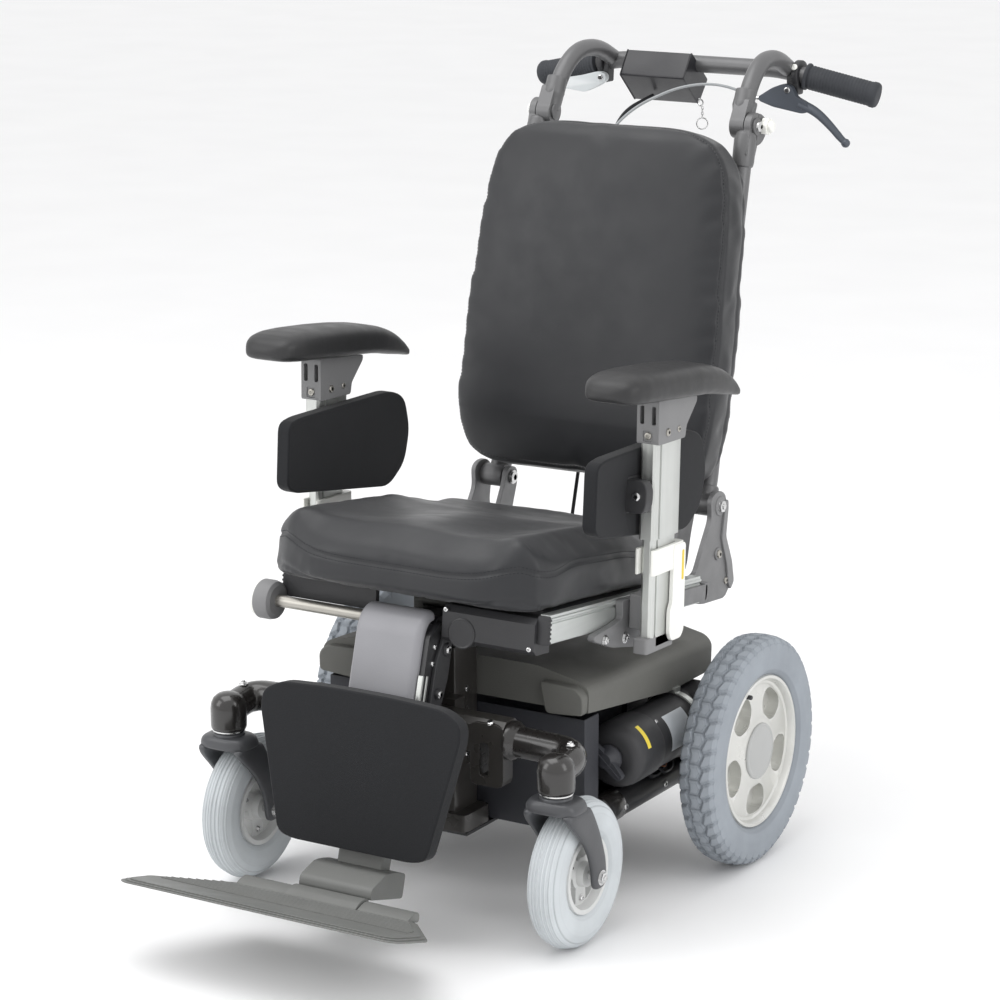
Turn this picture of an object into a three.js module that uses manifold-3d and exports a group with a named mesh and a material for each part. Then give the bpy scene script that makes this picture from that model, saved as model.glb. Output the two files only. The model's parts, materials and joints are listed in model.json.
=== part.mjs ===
// Power wheelchair with tilting seat, reclining back, centre legrest and attendant push bar.
// Millimetres, +Z up. The chair faces -Y and +X is the occupant's left. Sub-parts are
// dimensioned from the drive wheels' axle line (Y = 0) and the floor (Z = 0).
import * as THREE from 'three';
import { mergeVertices } from 'three/addons/utils/BufferGeometryUtils.js';
import Module from 'manifold-3d';

const wasm = await Module();
wasm.setup();

const AXLE_Y = 165; // moves the middle of the footprint to the origin
const GAP = 0.4; // clearance between pieces that touch or nest

const DRIVE_R = 159;
const DRIVE_HALF_W = 27;
const DRIVE_X = 293;
const RIM_R = 105.5;
const MOTOR_X = 205;
const MOTOR_Z = 195;
const MOTOR_R = 45;
const SHAFT_R = 12;

const CASTER_R = 99;
const CASTER_X = 252;
const CASTER_Y = -449;
const CASTER_TRAIL = 50;
const HEAD_BOTTOM = 222;
const CROWN_TOP = 213;

const TILT_PIVOT_Y = -40;
const TILT_PIVOT_Z = 345;
const SEAT_ANGLE = 6;
const SEAT_Y = -220;
const SEAT_Z = 367;
const RAIL_OUT = 215;
const ROD_Y = -181.7; // legrest rod, in the seat's own frame
const ROD_Z = 7;

const LEG_ANGLE = 15.6;
const LEG_Y = -400;
const LEG_Z = 393;
const FOOT_HINGE_Y = -92;
const FOOT_HINGE_Z = -356;

const ARM_X = 260;
const ARM_Y = -205;
const ARM_Z = 350;
const ARM_ANGLE = 2;

const BACK_ANGLE = 11;
const BACK_Y = 24; // origin of the back's own frame
const BACK_Z = 487;
const HINGE_Y = 98; // recline hinge
const HINGE_Z = 467;
const PUSH_Y = 100; // push bar pivot, in the back's own frame
const PUSH_Z = 520;
const BAR_R = 12.3;
const BAR_Y = 392;
const BAR_Z = 1038;
const GRIP_FROM = [168, 394.6, 1030];
const GRIP_TO = [274, 409.8, 1007];

const DEG = Math.PI / 180;
const BOTH = [1, -1];

// ---- shape helpers ----

function solid(shape) {
  if (!shape.isBufferGeometry) {
    return shape;
  }
  const bare = shape.clone();
  bare.deleteAttribute('normal');
  bare.deleteAttribute('uv');
  const merged = mergeVertices(bare, 1e-4);
  const index = merged.index.array;
  const triangles = [];
  for (let i = 0; i < index.length; i += 3) {
    const [a, b, c] = [index[i], index[i + 1], index[i + 2]];
    if (a !== b && b !== c && c !== a) {
      triangles.push(a, b, c);
    }
  }
  const build = (order) => new wasm.Manifold(new wasm.Mesh({
    numProp: 3,
    vertProperties: new Float32Array(merged.attributes.position.array),
    triVerts: new Uint32Array(order),
  }));
  const first = build(triangles);
  return first.volume() > 0 ? first : build(triangles.reverse());
}

function fuse(...shapes) {
  return shapes.map(solid).reduce((sum, next) => sum.add(next));
}

function carve(base, ...tools) {
  return tools.map(solid).reduce((rest, tool) => rest.subtract(tool), solid(base));
}

// What several shapes have in common, such as a pad seen from the side and from above.
function common(...shapes) {
  return shapes.map(solid).reduce((shared, next) => shared.intersect(next));
}

function box(x0, x1, y0, y1, z0, z1) {
  const block = new THREE.BoxGeometry(Math.abs(x1 - x0), y1 - y0, z1 - z0);
  return block.translate((x0 + x1) / 2, (y0 + y1) / 2, (z0 + z1) / 2);
}

// A cylinder along one axis; a and b are its other two coordinates, in X, Y, Z order.
function drum(axis, radius, from, to, a, b, sides = 16) {
  const body = new THREE.CylinderGeometry(radius, radius, Math.abs(to - from), sides);
  const middle = (from + to) / 2;
  if (axis === 'x') {
    return body.rotateZ(-Math.PI / 2).translate(middle, a, b);
  }
  if (axis === 'y') {
    return body.translate(a, middle, b);
  }
  return body.rotateX(Math.PI / 2).translate(a, b, middle);
}

function outline(points, radius = 0) {
  const shape = new THREE.Shape();
  const count = points.length;
  points.forEach((point, i) => {
    const corner = new THREE.Vector2(...point);
    const before = new THREE.Vector2(...points[(i + count - 1) % count]);
    const after = new THREE.Vector2(...points[(i + 1) % count]);
    const reach = Math.min(radius, corner.distanceTo(before) / 2.01, corner.distanceTo(after) / 2.01);
    const start = corner.clone().lerp(before, reach / corner.distanceTo(before));
    const end = corner.clone().lerp(after, reach / corner.distanceTo(after));
    if (i === 0) {
      shape.moveTo(start.x, start.y);
    } else {
      shape.lineTo(start.x, start.y);
    }
    if (radius > 0) {
      shape.quadraticCurveTo(corner.x, corner.y, end.x, end.y);
    }
  });
  shape.closePath();
  return shape;
}

// Extrudes an outline with rounded corners across one axis.
function slab(axis, points, from, to, radius = 0) {
  const low = Math.min(from, to);
  const high = Math.max(from, to);
  const body = new THREE.ExtrudeGeometry(outline(points, radius), {
    depth: high - low,
    curveSegments: 2,
    bevelEnabled: false,
  });
  if (axis === 'x') {
    const turn = new THREE.Matrix4().makeBasis(
      new THREE.Vector3(0, 1, 0), new THREE.Vector3(0, 0, 1), new THREE.Vector3(1, 0, 0));
    return body.applyMatrix4(turn).translate(low, 0, 0);
  }
  if (axis === 'y') {
    return body.rotateX(Math.PI / 2).translate(0, high, 0);
  }
  return body.translate(0, 0, low);
}

function mirrored(points) {
  const other = points.map(([x, y]) => [-x, y]).reverse();
  return [...points, ...other];
}

function rect(u0, u1, v0, v1) {
  return [[u0, v0], [u1, v0], [u1, v1], [u0, v1]];
}

// Turns a profile of [radius, distance along the axis] about the X or Z axis.
function spun(axis, profile, sides = 36) {
  const points = profile.map(([radius, along]) => new THREE.Vector2(radius, along));
  const body = new THREE.LatheGeometry(points, sides);
  return axis === 'x' ? body.rotateZ(-Math.PI / 2) : body.rotateX(Math.PI / 2);
}

// A path through corner points with each inner corner rounded.
class Route extends THREE.Curve {
  constructor(corners, bend, steps) {
    super();
    const points = corners.map((corner) => new THREE.Vector3(...corner));
    this.stops = [points[0]];
    for (let i = 1; i < points.length - 1; i += 1) {
      const before = points[i].distanceTo(points[i - 1]);
      const after = points[i].distanceTo(points[i + 1]);
      const reach = Math.min(bend, before / 2.05, after / 2.05);
      const start = points[i].clone().lerp(points[i - 1], reach / before);
      const end = points[i].clone().lerp(points[i + 1], reach / after);
      const corner = new THREE.QuadraticBezierCurve3(start, points[i], end);
      this.stops.push(...corner.getPoints(steps));
    }
    this.stops.push(points[points.length - 1]);
  }

  getPoint(t) {
    const last = this.stops.length - 1;
    const at = Math.min(Math.floor(t * last + 1e-6), last - 1);
    return this.stops[at].clone().lerp(this.stops[at + 1], t * last - at);
  }

  getPointAt(t) {
    return this.getPoint(t);
  }

  getTangentAt(t) {
    const last = this.stops.length - 1;
    const at = Math.round(t * last);
    const before = this.stops[Math.max(at - 1, 0)];
    const after = this.stops[Math.min(at + 1, last)];
    return after.clone().sub(before).normalize();
  }
}

function pipe(corners, radius, bend, steps = 3, sides = 8) {
  const path = new Route(corners, bend, steps);
  const ring = new THREE.Shape();
  ring.absarc(0, 0, radius, 0, 2 * Math.PI, false);
  return new THREE.ExtrudeGeometry(ring, {
    steps: path.stops.length - 1,
    extrudePath: path,
    curveSegments: sides / 2,
  });
}

const root = new THREE.Group();
root.name = 'power_wheelchair';
root.position.y = AXLE_Y;

function part(parent, name, shape, color, roughness, metalness) {
  const mesh = solid(shape).getMesh();
  const geometry = new THREE.BufferGeometry();
  geometry.setAttribute('position', new THREE.BufferAttribute(mesh.vertProperties, 3));
  geometry.setIndex(new THREE.BufferAttribute(mesh.triVerts, 1));
  geometry.computeVertexNormals();
  const node = new THREE.Mesh(geometry, new THREE.MeshStandardMaterial({ color, roughness, metalness }));
  node.name = name;
  parent.add(node);
  return node;
}

function group(parent, x, y, z, leanBack = 0) {
  const frame = new THREE.Group();
  frame.position.set(x, y, z);
  frame.rotation.x = -leanBack * DEG;
  parent.add(frame);
  return frame;
}

function sideName(name, side) {
  return side > 0 ? `${name}_left` : `${name}_right`;
}

// ---- chassis ----

function chassisFrame() {
  const towers = BOTH.flatMap((side) => [
    slab('x', [[-90, 98], [-5, 98], [-22, 352], [-34, 361], [-50, 361], [-58, 345]],
      side * 138, side * 146, 6),
    drum('x', 6, side * 138, side * 166, TILT_PIVOT_Y, TILT_PIVOT_Z, 16),
  ]);
  return fuse(
    box(-195, 195, -240, 70, 97, 101.5),
    box(-60, 60, -352, -240, 97, 101.5),
    drum('y', 20, -243, 70, 195, 121),
    drum('y', 20, -243, 70, -195, 121),
    drum('x', 14, -195, 195, 62, 121),
    ...towers,
  );
}

function batteryBox() {
  const plan = (inset) => mirrored([
    [200 - inset, -285.5 + inset], [200 - inset, -248 - inset], [132 - inset, -248 - inset],
    [132 - inset, 46 - inset],
  ]);
  return carve(
    slab('z', plan(0), 102, 262),
    slab('z', plan(3), 105, 270),
  );
}

function batteryPack() {
  const halves = BOTH.flatMap((side) => [
    box(side * 3, side * 126, -240, -22, 105.6, 262),
    box(side * 6, side * 123, -237, -25, 262, 268),
    drum('z', 7, 268, 275, side * 25, -210, 10),
    drum('z', 7, 268, 275, side * 104, -210, 10),
  ]);
  return fuse(box(-32, 32, -216, -204, 270, 274), ...halves);
}

function controller() {
  const fins = [-54, -36, -18, 0, 18, 36, 54].map((x) => box(x - 3, x + 3, -16, 42, 190, 212));
  return fuse(box(-66, 66, -16, 42, 105.6, 192), ...fins);
}

function batteryCover() {
  const half = (side, inset) => mirrored([
    [side, 180], [side, 303 - inset / 2], [side - 11, 313 - inset], [128, 327 - inset],
  ]);
  const slope = (shape) => shape.translate(0, 285, -300).rotateX(-3.2 * DEG).translate(0, -285, 300);
  const bumps = BOTH.map((side) => slab('y', [
    [side * 150, 268], [side * 206, 272], [side * 206, 300], [side * 192, 309], [side * 140, 309],
  ], -303, -288, 5));
  const motors = BOTH.map((side) => drum('y', MOTOR_R + 5, -240, 80, side * MOTOR_X, MOTOR_Z));
  const slots = BOTH.map((side) => box(side * 133, side * 151, -98, 4, 200, 360));
  const ruled = slab('x', [[-320, 100], [120, 100], [120, 220], [-320, 278]], -260, 260);
  const shell = carve(
    slope(slab('y', half(208, 0), -289.3, 55)),
    slope(slab('y', half(204.5, 3.5), -285.9, 51.5)),
    ruled,
  );
  return carve(fuse(shell, ...bumps), ...motors, ...slots,
    box(-199, 199, -289, -285.2, 200, 270));
}

// The lower mast and the casting at its foot that carries both caster beams.
function frontMount() {
  const lugs = BOTH.map((side) => slab('y',
    rect(side * 102, side * 152, 196, 280), -412, -388, 10));
  const slots = BOTH.map((side) => slab('y',
    rect(side * 116, side * 130, 208, 254), -420, -380, 6));
  return carve(
    fuse(
      slab('x', [[-412, 240], [-372, 240], [-372, 274], [-382, 284], [-404, 284], [-412, 276]],
        -152, 152),
      box(-56, 56, -374, -350, 206, 290),
      slab('z', rect(-42, 42, -352, -292), 102, 352, 8),
      slab('z', rect(-60, 60, -356, -292), 102, 126, 8),
      ...lugs,
    ),
    ...slots,
    slab('z', rect(-37, 37, -347, -297), 110, 360),
  );
}

function mastUpper() {
  return fuse(
    slab('z', rect(-36.4, 36.4, -346.4, -297.6), 118, 388),
    box(-34, -20, -331, -311, 388, 410),
    box(20, 34, -331, -311, 388, 410),
    drum('x', 11, -32, 32, -321, 405.2, 20),
  );
}

function casterBeam(side) {
  const x = (value) => side * value;
  const head = spun('z', [
    [0, HEAD_BOTTOM], [23, HEAD_BOTTOM], [24, 226], [24, 254], [19, 266], [0, 272],
  ], 16).translate(x(CASTER_X), CASTER_Y, 0);
  return carve(
    fuse(
      pipe([[x(158), -393, 257], [x(252), -394, 255], [x(252), -452, 246]], 20.5, 42, 4, 12),
      drum('x', 26, x(152.4), x(162), -393, 257),
      head,
    ),
    drum('z', 8.5, 200, 252, x(CASTER_X), CASTER_Y, 12),
  );
}

function motor(side) {
  const x = (value) => side * value;
  return carve(
    fuse(
      drum('y', MOTOR_R, -212, -34, x(MOTOR_X), MOTOR_Z, 24),
      drum('y', MOTOR_R - 6, -226, -212, x(MOTOR_X), MOTOR_Z, 24),
      slab('x', [[-42, 142], [40, 142], [44, 170], [44, 222], [26, 238], [-42, 238]],
        x(160), x(247), 6),
      drum('x', 24, x(246), x(258), 0, DRIVE_R),
    ),
    drum('x', SHAFT_R + GAP, x(214), x(262), 0, DRIVE_R, 14),
    drum('y', 6 + GAP, -240, -214, x(MOTOR_X), MOTOR_Z, 10),
  );
}

function freewheelLever(side) {
  const blade = slab('y', rect(-33, 33, -6, 6), -243, -234, 5).rotateY(42 * DEG);
  return fuse(
    drum('y', 19, -236, -227, 0, 0, 16),
    drum('y', 6, -228, -216, 0, 0, 10),
    blade,
  ).translate([side * MOTOR_X, 0, MOTOR_Z]);
}

function makeChassis() {
  part(root, 'chassis_frame', chassisFrame(), 0x1d1d1f, 0.45, 0.3);
  part(root, 'battery_box', batteryBox(), 0x3a3c42, 0.6, 0);
  part(root, 'battery_cover', batteryCover(), 0x4c4c4a, 0.75, 0);
  part(root, 'battery_pack', batteryPack(), 0x26282c, 0.7, 0);
  part(root, 'controller_module', controller(), 0x2a2b2d, 0.5, 0.2);
  part(root, 'front_mount', frontMount(), 0x2a2a29, 0.4, 0.4);
  part(root, 'mast_upper', mastUpper(), 0x55554f, 0.4, 0.6);
  BOTH.forEach((side) => {
    part(root, sideName('caster_beam', side), casterBeam(side), 0x2a2827, 0.25, 0.3);
    part(root, sideName('motor', side), motor(side), 0x303033, 0.5, 0.2);
    part(root, sideName('freewheel_lever', side), freewheelLever(side), 0x2c2d31, 0.5, 0);
  });
}

// ---- wheels ----

function driveTyre() {
  const half = DRIVE_HALF_W;
  return spun('x', [
    [106, -19], [113, 2 - half], [136, -half], [153, 7 - half], [DRIVE_R, -8],
    [DRIVE_R, 8], [153, half - 7], [136, half], [113, half - 2], [106, 19], [106, -19],
  ], 32);
}

function driveRim(side) {
  const holes = [0, 1, 2, 3, 4].map((i) => drum('x', 17, -6, 26, 0, 0, 12)
    .scale(1, 1, 1.3)
    .translate(0, 0, 70)
    .rotateX((i * 72 + 36) * DEG));
  const rim = carve(
    fuse(
      carve(drum('x', RIM_R, -20, 20, 0, 0, 32), drum('x', RIM_R - 8, -30, 30, 0, 0, 32)),
      drum('x', RIM_R - 4, 3, 11, 0, 0, 32),
      drum('x', 38, -14, 21, 0, 0, 20),
    ),
    ...holes,
  );
  const shaft = drum('x', SHAFT_R, -70, -10, 0, 0, 14);
  const whole = fuse(rim, shaft);
  return side > 0 ? whole : whole.rotate([0, 0, 180]);
}

function casterTyre() {
  return spun('x', [
    [52, -15], [60, -21], [80, -23], [94, -15], [CASTER_R, -4],
    [CASTER_R, 4], [94, 15], [80, 23], [60, 21], [52, 15], [52, -15],
  ], 28);
}

function casterHub() {
  const windows = [0, 1, 2].map((i) => drum('x', 12, -20, 20, 0, 0, 10)
    .scale(1, 1.35, 1)
    .translate(0, 0, 30)
    .rotateX(i * 120 * DEG));
  return carve(
    fuse(
      carve(drum('x', 51.5, -18, 18, 0, 0, 28), drum('x', 46, -30, 30, 0, 0, 28)),
      drum('x', 48, -5, 5, 0, 0, 28),
      drum('x', 15, -20, 20, 0, 0, 16),
    ),
    ...windows,
    drum('x', 6 + GAP, -30, 30, 0, 0, 16),
  );
}

function casterFork() {
  const side = slab('x', [
    [-26, 213], [26, 213], [44, 172], [64, 122], [65, 96], [52, 84], [38, 90], [30, 122],
    [10, 160], [-16, 176], [-27, 188],
  ], -38, 38, 8);
  const arch = drum('x', CASTER_R + 7, -28.5, 28.5, CASTER_TRAIL, CASTER_R, 28);
  return fuse(
    carve(side, arch),
    drum('z', 20, CROWN_TOP - 2, 218, 0, 0, 16),
    drum('z', 8, 214, 248, 0, 0, 12),
    drum('x', 6, -38, 38, CASTER_TRAIL, CASTER_R, 12),
    drum('x', 9, 37, 43, CASTER_TRAIL, CASTER_R, 6),
    drum('x', 9, -43, -37, CASTER_TRAIL, CASTER_R, 6),
  );
}

function makeWheels() {
  BOTH.forEach((side) => {
    const axle = group(root, side * DRIVE_X, 0, DRIVE_R);
    part(axle, sideName('drive_tyre', side), driveTyre(), 0xaab1b7, 0.8, 0);
    part(axle, sideName('drive_rim', side), driveRim(side), 0xb9b9b4, 0.35, 0.8);
    const swivel = group(root, side * CASTER_X, CASTER_Y, 0);
    part(swivel, sideName('caster_fork', side), casterFork(), 0x3f4043, 0.5, 0.2);
    const wheel = group(swivel, 0, CASTER_TRAIL, CASTER_R);
    part(wheel, sideName('caster_tyre', side), casterTyre(), 0xc4cacd, 0.8, 0);
    part(wheel, sideName('caster_hub', side), casterHub(), 0xbdbdb8, 0.5, 0.1);
  });
}

// ---- seat ----

function seatPan() {
  const lugs = BOTH.map((side) => slab('x', [
    [150, 42], [160, -8], [172, -19], [190, -19], [202, -8], [208, 42],
  ], side * 152, side * 160, 6));
  const pivots = BOTH.map((side) => drum('x', 6 + GAP, side * 150, side * 162, 181.3, -3.1, 16));
  return carve(
    fuse(
      box(-199, 199, -166, 208, 40, 47),
      box(-199, -60, -166, -158, 12, 42),
      slab('x', [[-197, 0], [-190, -6], [-158, -6], [-158, 42], [-190, 42], [-197, 34]], 62, 199),
      drum('y', 20, -198, -160, 92, 8),
      ...lugs,
    ),
    drum('x', 8 + GAP, 55, 162, ROD_Y, ROD_Z, 14),
    ...pivots,
  );
}

function seatRail(side) {
  const front = side > 0 ? -186 : -150;
  const x = (value) => side * value;
  return carve(
    box(x(200), x(RAIL_OUT), front, 222, 10, 47.5),
    box(x(RAIL_OUT - 1.5), x(RAIL_OUT + 1), front - 5, 230, 40, 43),
  );
}

function legrestRod() {
  return fuse(
    drum('x', 8, -206, 156, ROD_Y, ROD_Z, 14),
    drum('x', 26, -227, -204, ROD_Y, ROD_Z, 24),
    drum('x', 22, -237, -226, ROD_Y, ROD_Z, 24),
  );
}

function seatCushion() {
  const plan = mirrored([[120, -240], [214, -204], [217, 110], [206, 204]]);
  const profile = [[-244, 49], [206, 49], [206, 122], [60, 130], [-244, 136]];
  return common(
    slab('z', plan, 40, 150, 40),
    slab('x', profile, -220, 220, 30),
    slab('y', rect(-218, 218, 48, 138), -250, 210, 26),
  );
}

// One casting along each rail: the seat's side bracket in front, the back's hinge clevis behind.
function sidePlate(side) {
  const level = (points, from, to) => slab('x', points.map(([y, z]) => [y - SEAT_Y, z - SEAT_Z]),
    side * from, side * to, 7).rotateX(SEAT_ANGLE * DEG);
  const outer = level([
    [14, 384], [30, 386], [50, 417], [74, 452], [72, 480], [84, 488], [104, 488], [117, 478],
    [118, 462], [112, 422], [131, 382], [138, 351], [117, 331], [51, 337], [14, 347],
  ], 187, 195);
  const inner = level([
    [18, 384], [38, 388], [66, 436], [80, 462], [84, 479], [98, 483], [112, 479], [116, 462],
    [100, 420], [90, 380], [70, 350], [18, 342],
  ], 141, 149);
  const bracket = slab('x', [
    [-20, 46], [38, 46], [40, 12], [62, 8], [64, -16], [20, -20], [-40, -13], [-90, 2],
    [-88, 9], [-42, 16], [-16, 22],
  ], side * (RAIL_OUT + GAP), side * 226, 5);
  const pivot = new THREE.Vector3(0, HINGE_Y - SEAT_Y, HINGE_Z - SEAT_Z)
    .applyAxisAngle(new THREE.Vector3(1, 0, 0), SEAT_ANGLE * DEG);
  return carve(
    fuse(
      outer,
      inner,
      level([[16, 345], [62, 345], [62, 357], [16, 357]], 142, 194),
      bracket,
      box(side * (RAIL_OUT + GAP), side * 222, 30, 231, 14, 36),
      box(side * 188, side * 222, 223, 237, 14, 38),
    ),
    drum('x', 8 + GAP, side * 138, side * 200, pivot.y, pivot.z, 14),
  );
}

function makeSeat() {
  const seat = group(root, 0, SEAT_Y, SEAT_Z, SEAT_ANGLE);
  part(seat, 'seat_pan', seatPan(), 0x3b3b3d, 0.6, 0.2);
  part(seat, 'legrest_rod', legrestRod(), 0xb7b5b0, 0.3, 0.8);
  part(seat, 'seat_cushion', seatCushion(), 0x55575b, 0.65, 0);
  BOTH.forEach((side) => {
    part(seat, sideName('seat_rail', side), seatRail(side), 0xc2c4c2, 0.4, 0.8);
    part(seat, sideName('side_plate', side), sidePlate(side), 0x7d7c7c, 0.5, 0.2);
  });
  return seat;
}

// ---- armrests ----

function armReceiver() {
  return (side) => fuse(
    slab('z', rect(-9, 9, -33, 29), 6, 250, 6),
    slab('z', side > 0 ? rect(-13, 9, -42, 31) : rect(-9, 13, -42, 31), 0, 20, 4),
    box(side * -33.4, side * -6, -16, 14, 24, 70),
  );
}

function armPost() {
  return carve(
    slab('z', rect(-12, 12, -37, 33), 150, 290, 9),
    slab('z', rect(-9 - GAP, 9 + GAP, -33 - GAP, 29 + GAP), 140, 282, 5),
    box(-2, 2, -40, -35.5, 140, 300),
  );
}

// A band round the receiver, with its release handle on the chair's outer side.
function armLatch(side) {
  const handle = slab('x', [[6, 16], [14, 6], [38, 6], [46, 16], [46, 134], [14, 134], [14, 60], [6, 50]],
    side * 9.9, side * 15.5, 5);
  return carve(
    fuse(slab('z', rect(-14.5, 14.5, -40, 46), 104, 138, 6), handle),
    box(-9 - GAP, 9 + GAP, -50, 29 + 1.2, 90, 150),
  );
}

function armBracket() {
  return carve(
    slab('x', [[-39, 278], [36, 278], [37, 296], [64, 321], [64, 327], [-40, 335]], -16, 16, 3),
    slab('z', rect(-12 - GAP, 12 + GAP, -37 - GAP, 33 + GAP), 270, 290 + GAP, 9),
  );
}

function armPad() {
  const profile = [
    [-161, 318.5], [-158, 346], [-136, 357], [66, 357], [124, 344], [167, 310], [118, 311],
    [70, 318.5],
  ];
  const plan = mirrored([[43, -170], [43, 20], [28, 170]]);
  return common(slab('x', profile, -50, 50, 9), slab('z', plan, 300, 360, 26));
}

function sidePad(side) {
  return fuse(
    slab('x', [
      [-142, 236], [-139, 150], [-118, 141], [112, 128], [150, 158], [159, 206], [142, 252],
      [108, 263], [60, 259], [-118, 243],
    ], side * (225 - ARM_X), side * (245 - ARM_X), 16),
    box(side * -22, side * -13.6, -60, -30, 170, 214),
    box(side * -16, side * 4, -60, -42.5, 172, 212),
  );
}

function makeArmrests(seat) {
  const receiver = armReceiver();
  BOTH.forEach((side) => {
    const lean = group(root, side * ARM_X, ARM_Y, ARM_Z, ARM_ANGLE);
    part(lean, sideName('arm_receiver', side), receiver(side), 0xc6c7c5, 0.35, 0.8);
    part(lean, sideName('arm_post', side), armPost(), 0xcfd0ce, 0.3, 0.85);
    part(lean, sideName('arm_latch', side), armLatch(side), 0xf0f0eb, 0.45, 0);
    part(lean, sideName('arm_bracket', side), armBracket(), 0x8b8a89, 0.5, 0.1);
    const level = group(seat, side * ARM_X, 0, 0);
    part(level, sideName('arm_pad', side), armPad(), 0x4a4b4b, 0.7, 0);
    part(level, sideName('side_pad', side), sidePad(side), 0x2d2e32, 0.8, 0);
  });
}

// ---- back and push bar ----

function backFrame() {
  const hinge = new THREE.Vector3(0, HINGE_Y - BACK_Y, HINGE_Z - BACK_Z)
    .applyAxisAngle(new THREE.Vector3(1, 0, 0), BACK_ANGLE * DEG);
  const canes = BOTH.flatMap((side) => [
    pipe([
      [side * 168, hinge.y, hinge.z], [side * 167, 90, 20], [side * 166, 90, 300],
      [side * 166, 94, 494],
    ], 12.3, 25, 2),
    drum('x', 15, side * 150, side * 186, hinge.y, hinge.z),
    drum('x', 8, side * 139, side * 198, hinge.y, hinge.z, 14),
    drum('x', 26, side * 166.5, side * 178, PUSH_Y, PUSH_Z),
    box(side * 166.5, side * 178, 90, 108, 484, 510),
    drum('x', 7, side * 150, side * 180, PUSH_Y, PUSH_Z, 12),
  ]);
  return fuse(
    box(-150, 150, 74, 80, 60, 470),
    drum('x', 9, -167, 167, 87, 110, 10),
    drum('x', 9, -167, 167, 90, 420, 10),
    ...canes,
  );
}

function backCushion() {
  const front = mirrored([
    [150, 12], [190, 30], [205, 90], [207, 230], [199, 380], [188, 452], [158, 496], [100, 510],
  ]);
  const profile = [[18, 12], [-4, 90], [-2, 300], [6, 500], [22, 513], [58, 513], [73, 440], [73, 20], [60, 12]];
  return common(slab('y', front, -20, 80, 26), slab('x', profile, -220, 220, 24));
}

function joinKnob(side) {
  return fuse(
    drum('x', 12, side * 180.4, side * 190, PUSH_Y + 16, PUSH_Z + 2, 12),
    drum('x', 9, side * 189, side * 196, PUSH_Y + 16, PUSH_Z + 2, 12),
  );
}

function pushBar() {
  const pivot = new THREE.Vector3(0, PUSH_Y, PUSH_Z)
    .applyAxisAngle(new THREE.Vector3(1, 0, 0), -BACK_ANGLE * DEG)
    .add(new THREE.Vector3(0, BACK_Y, BACK_Z));
  const along = new THREE.Vector3(...GRIP_TO).sub(new THREE.Vector3(...GRIP_FROM)).normalize();
  const end = new THREE.Vector3(...GRIP_TO).addScaledVector(along, -10);
  const turn = new THREE.Vector3(...GRIP_FROM).addScaledVector(along, -28);
  const arches = BOTH.flatMap((side) => [
    pipe([
      [side * 152, pivot.y + 8, pivot.z + 10], [side * 151, 252, 1032], [side * 148, 292, 1060],
      [side * 145, 345, 1060], [side * 143, BAR_Y, BAR_Z],
    ], BAR_R, 30, 2),
    drum('x', 24, side * 145, side * 166, pivot.y, pivot.z),
  ]);
  const pins = BOTH.map((side) => drum('x', 7 + GAP, side * 140, side * 168, pivot.y, pivot.z, 12));
  const collars = BOTH.flatMap((side) => [
    drum('x', 19, side * 153.4, side * 163.2, 393, 1033),
    box(side * 146, side * 163.2, 384, 395, 1004, 1030),
    drum('y', 3, 364, 386, side * 152, 1012, 8),
  ]);
  return carve(
    fuse(
      pipe([
        [-end.x, end.y, end.z], [-turn.x, turn.y, turn.z], [-120, BAR_Y, BAR_Z],
        [120, BAR_Y, BAR_Z], [turn.x, turn.y, turn.z], [end.x, end.y, end.z],
      ], BAR_R, 30, 2),
      ...arches,
      ...collars,
    ),
    ...pins,
  );
}

function grip(side) {
  const from = new THREE.Vector3(side * GRIP_FROM[0], GRIP_FROM[1], GRIP_FROM[2]);
  const to = new THREE.Vector3(side * GRIP_TO[0], GRIP_TO[1], GRIP_TO[2]);
  const length = from.distanceTo(to);
  const body = spun('z', [
    [BAR_R + GAP, 0], [16, 0], [17.5, 3], [17.5, length - 4], [14, length], [0, length],
    [0, length - 8], [BAR_R + GAP, length - 8], [BAR_R + GAP, 0],
  ], 16);
  const turn = new THREE.Quaternion()
    .setFromUnitVectors(new THREE.Vector3(0, 0, 1), to.clone().sub(from).normalize());
  return body.applyQuaternion(turn).translate(from.x, from.y, from.z);
}

function brakeLever() {
  const blade = slab('y', [
    [106, 1000], [128, 1014], [146, 1022], [160, 1018], [163, 1002], [184, 996], [210, 978],
    [232, 956], [246, 948], [248, 938], [238, 936], [214, 960], [192, 976], [160, 984],
    [130, 986], [108, 994],
  ], 366.5, 376.5, 4);
  return carve(blade, drum('y', 3 + GAP, 360, 390, 152, 1012, 8));
}

function releaseLever() {
  const blade = slab('y', [
    [-146, 1020], [-156, 1022], [-184, 1014], [-214, 1008], [-228, 1002], [-226, 992],
    [-205, 992], [-178, 988], [-150, 1002], [-144, 1010],
  ], 366.5, 376.5, 4);
  return carve(blade, drum('y', 3 + GAP, 360, 390, -152, 1012, 8));
}

function controlBox() {
  return carve(
    slab('x', [[368, 1056], [345, 1021], [391, 980], [418, 1013]], -108, -2, 4),
    drum('x', BAR_R + GAP, -120, 10, BAR_Y, BAR_Z),
  );
}

function pullRing() {
  const ring = carve(drum('x', 9, -1, 1, 0, 0, 20), drum('x', 7, -3, 3, 0, 0, 20));
  return fuse(ring, drum('z', 0.9, 8, 26, 0, 0, 6));
}

function brakeCable() {
  return pipe([
    [98, 372, 1000], [40, 364, 1016], [-8, 343, 1010], [-68, 300, 978], [-96, 246, 916],
    [-100, 222, 820], [-100, 176, 600], [-88, 150, 540],
  ], 2, 60, 3, 6);
}

function controlCable() {
  return pipe([
    [-66, 371, 991], [-88, 320, 972], [-84, 262, 920], [-60, 226, 830], [-56, 172, 590],
    [-56, 130, 440], [-50, 90, 330],
  ], 2.6, 60, 3, 6);
}

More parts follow.
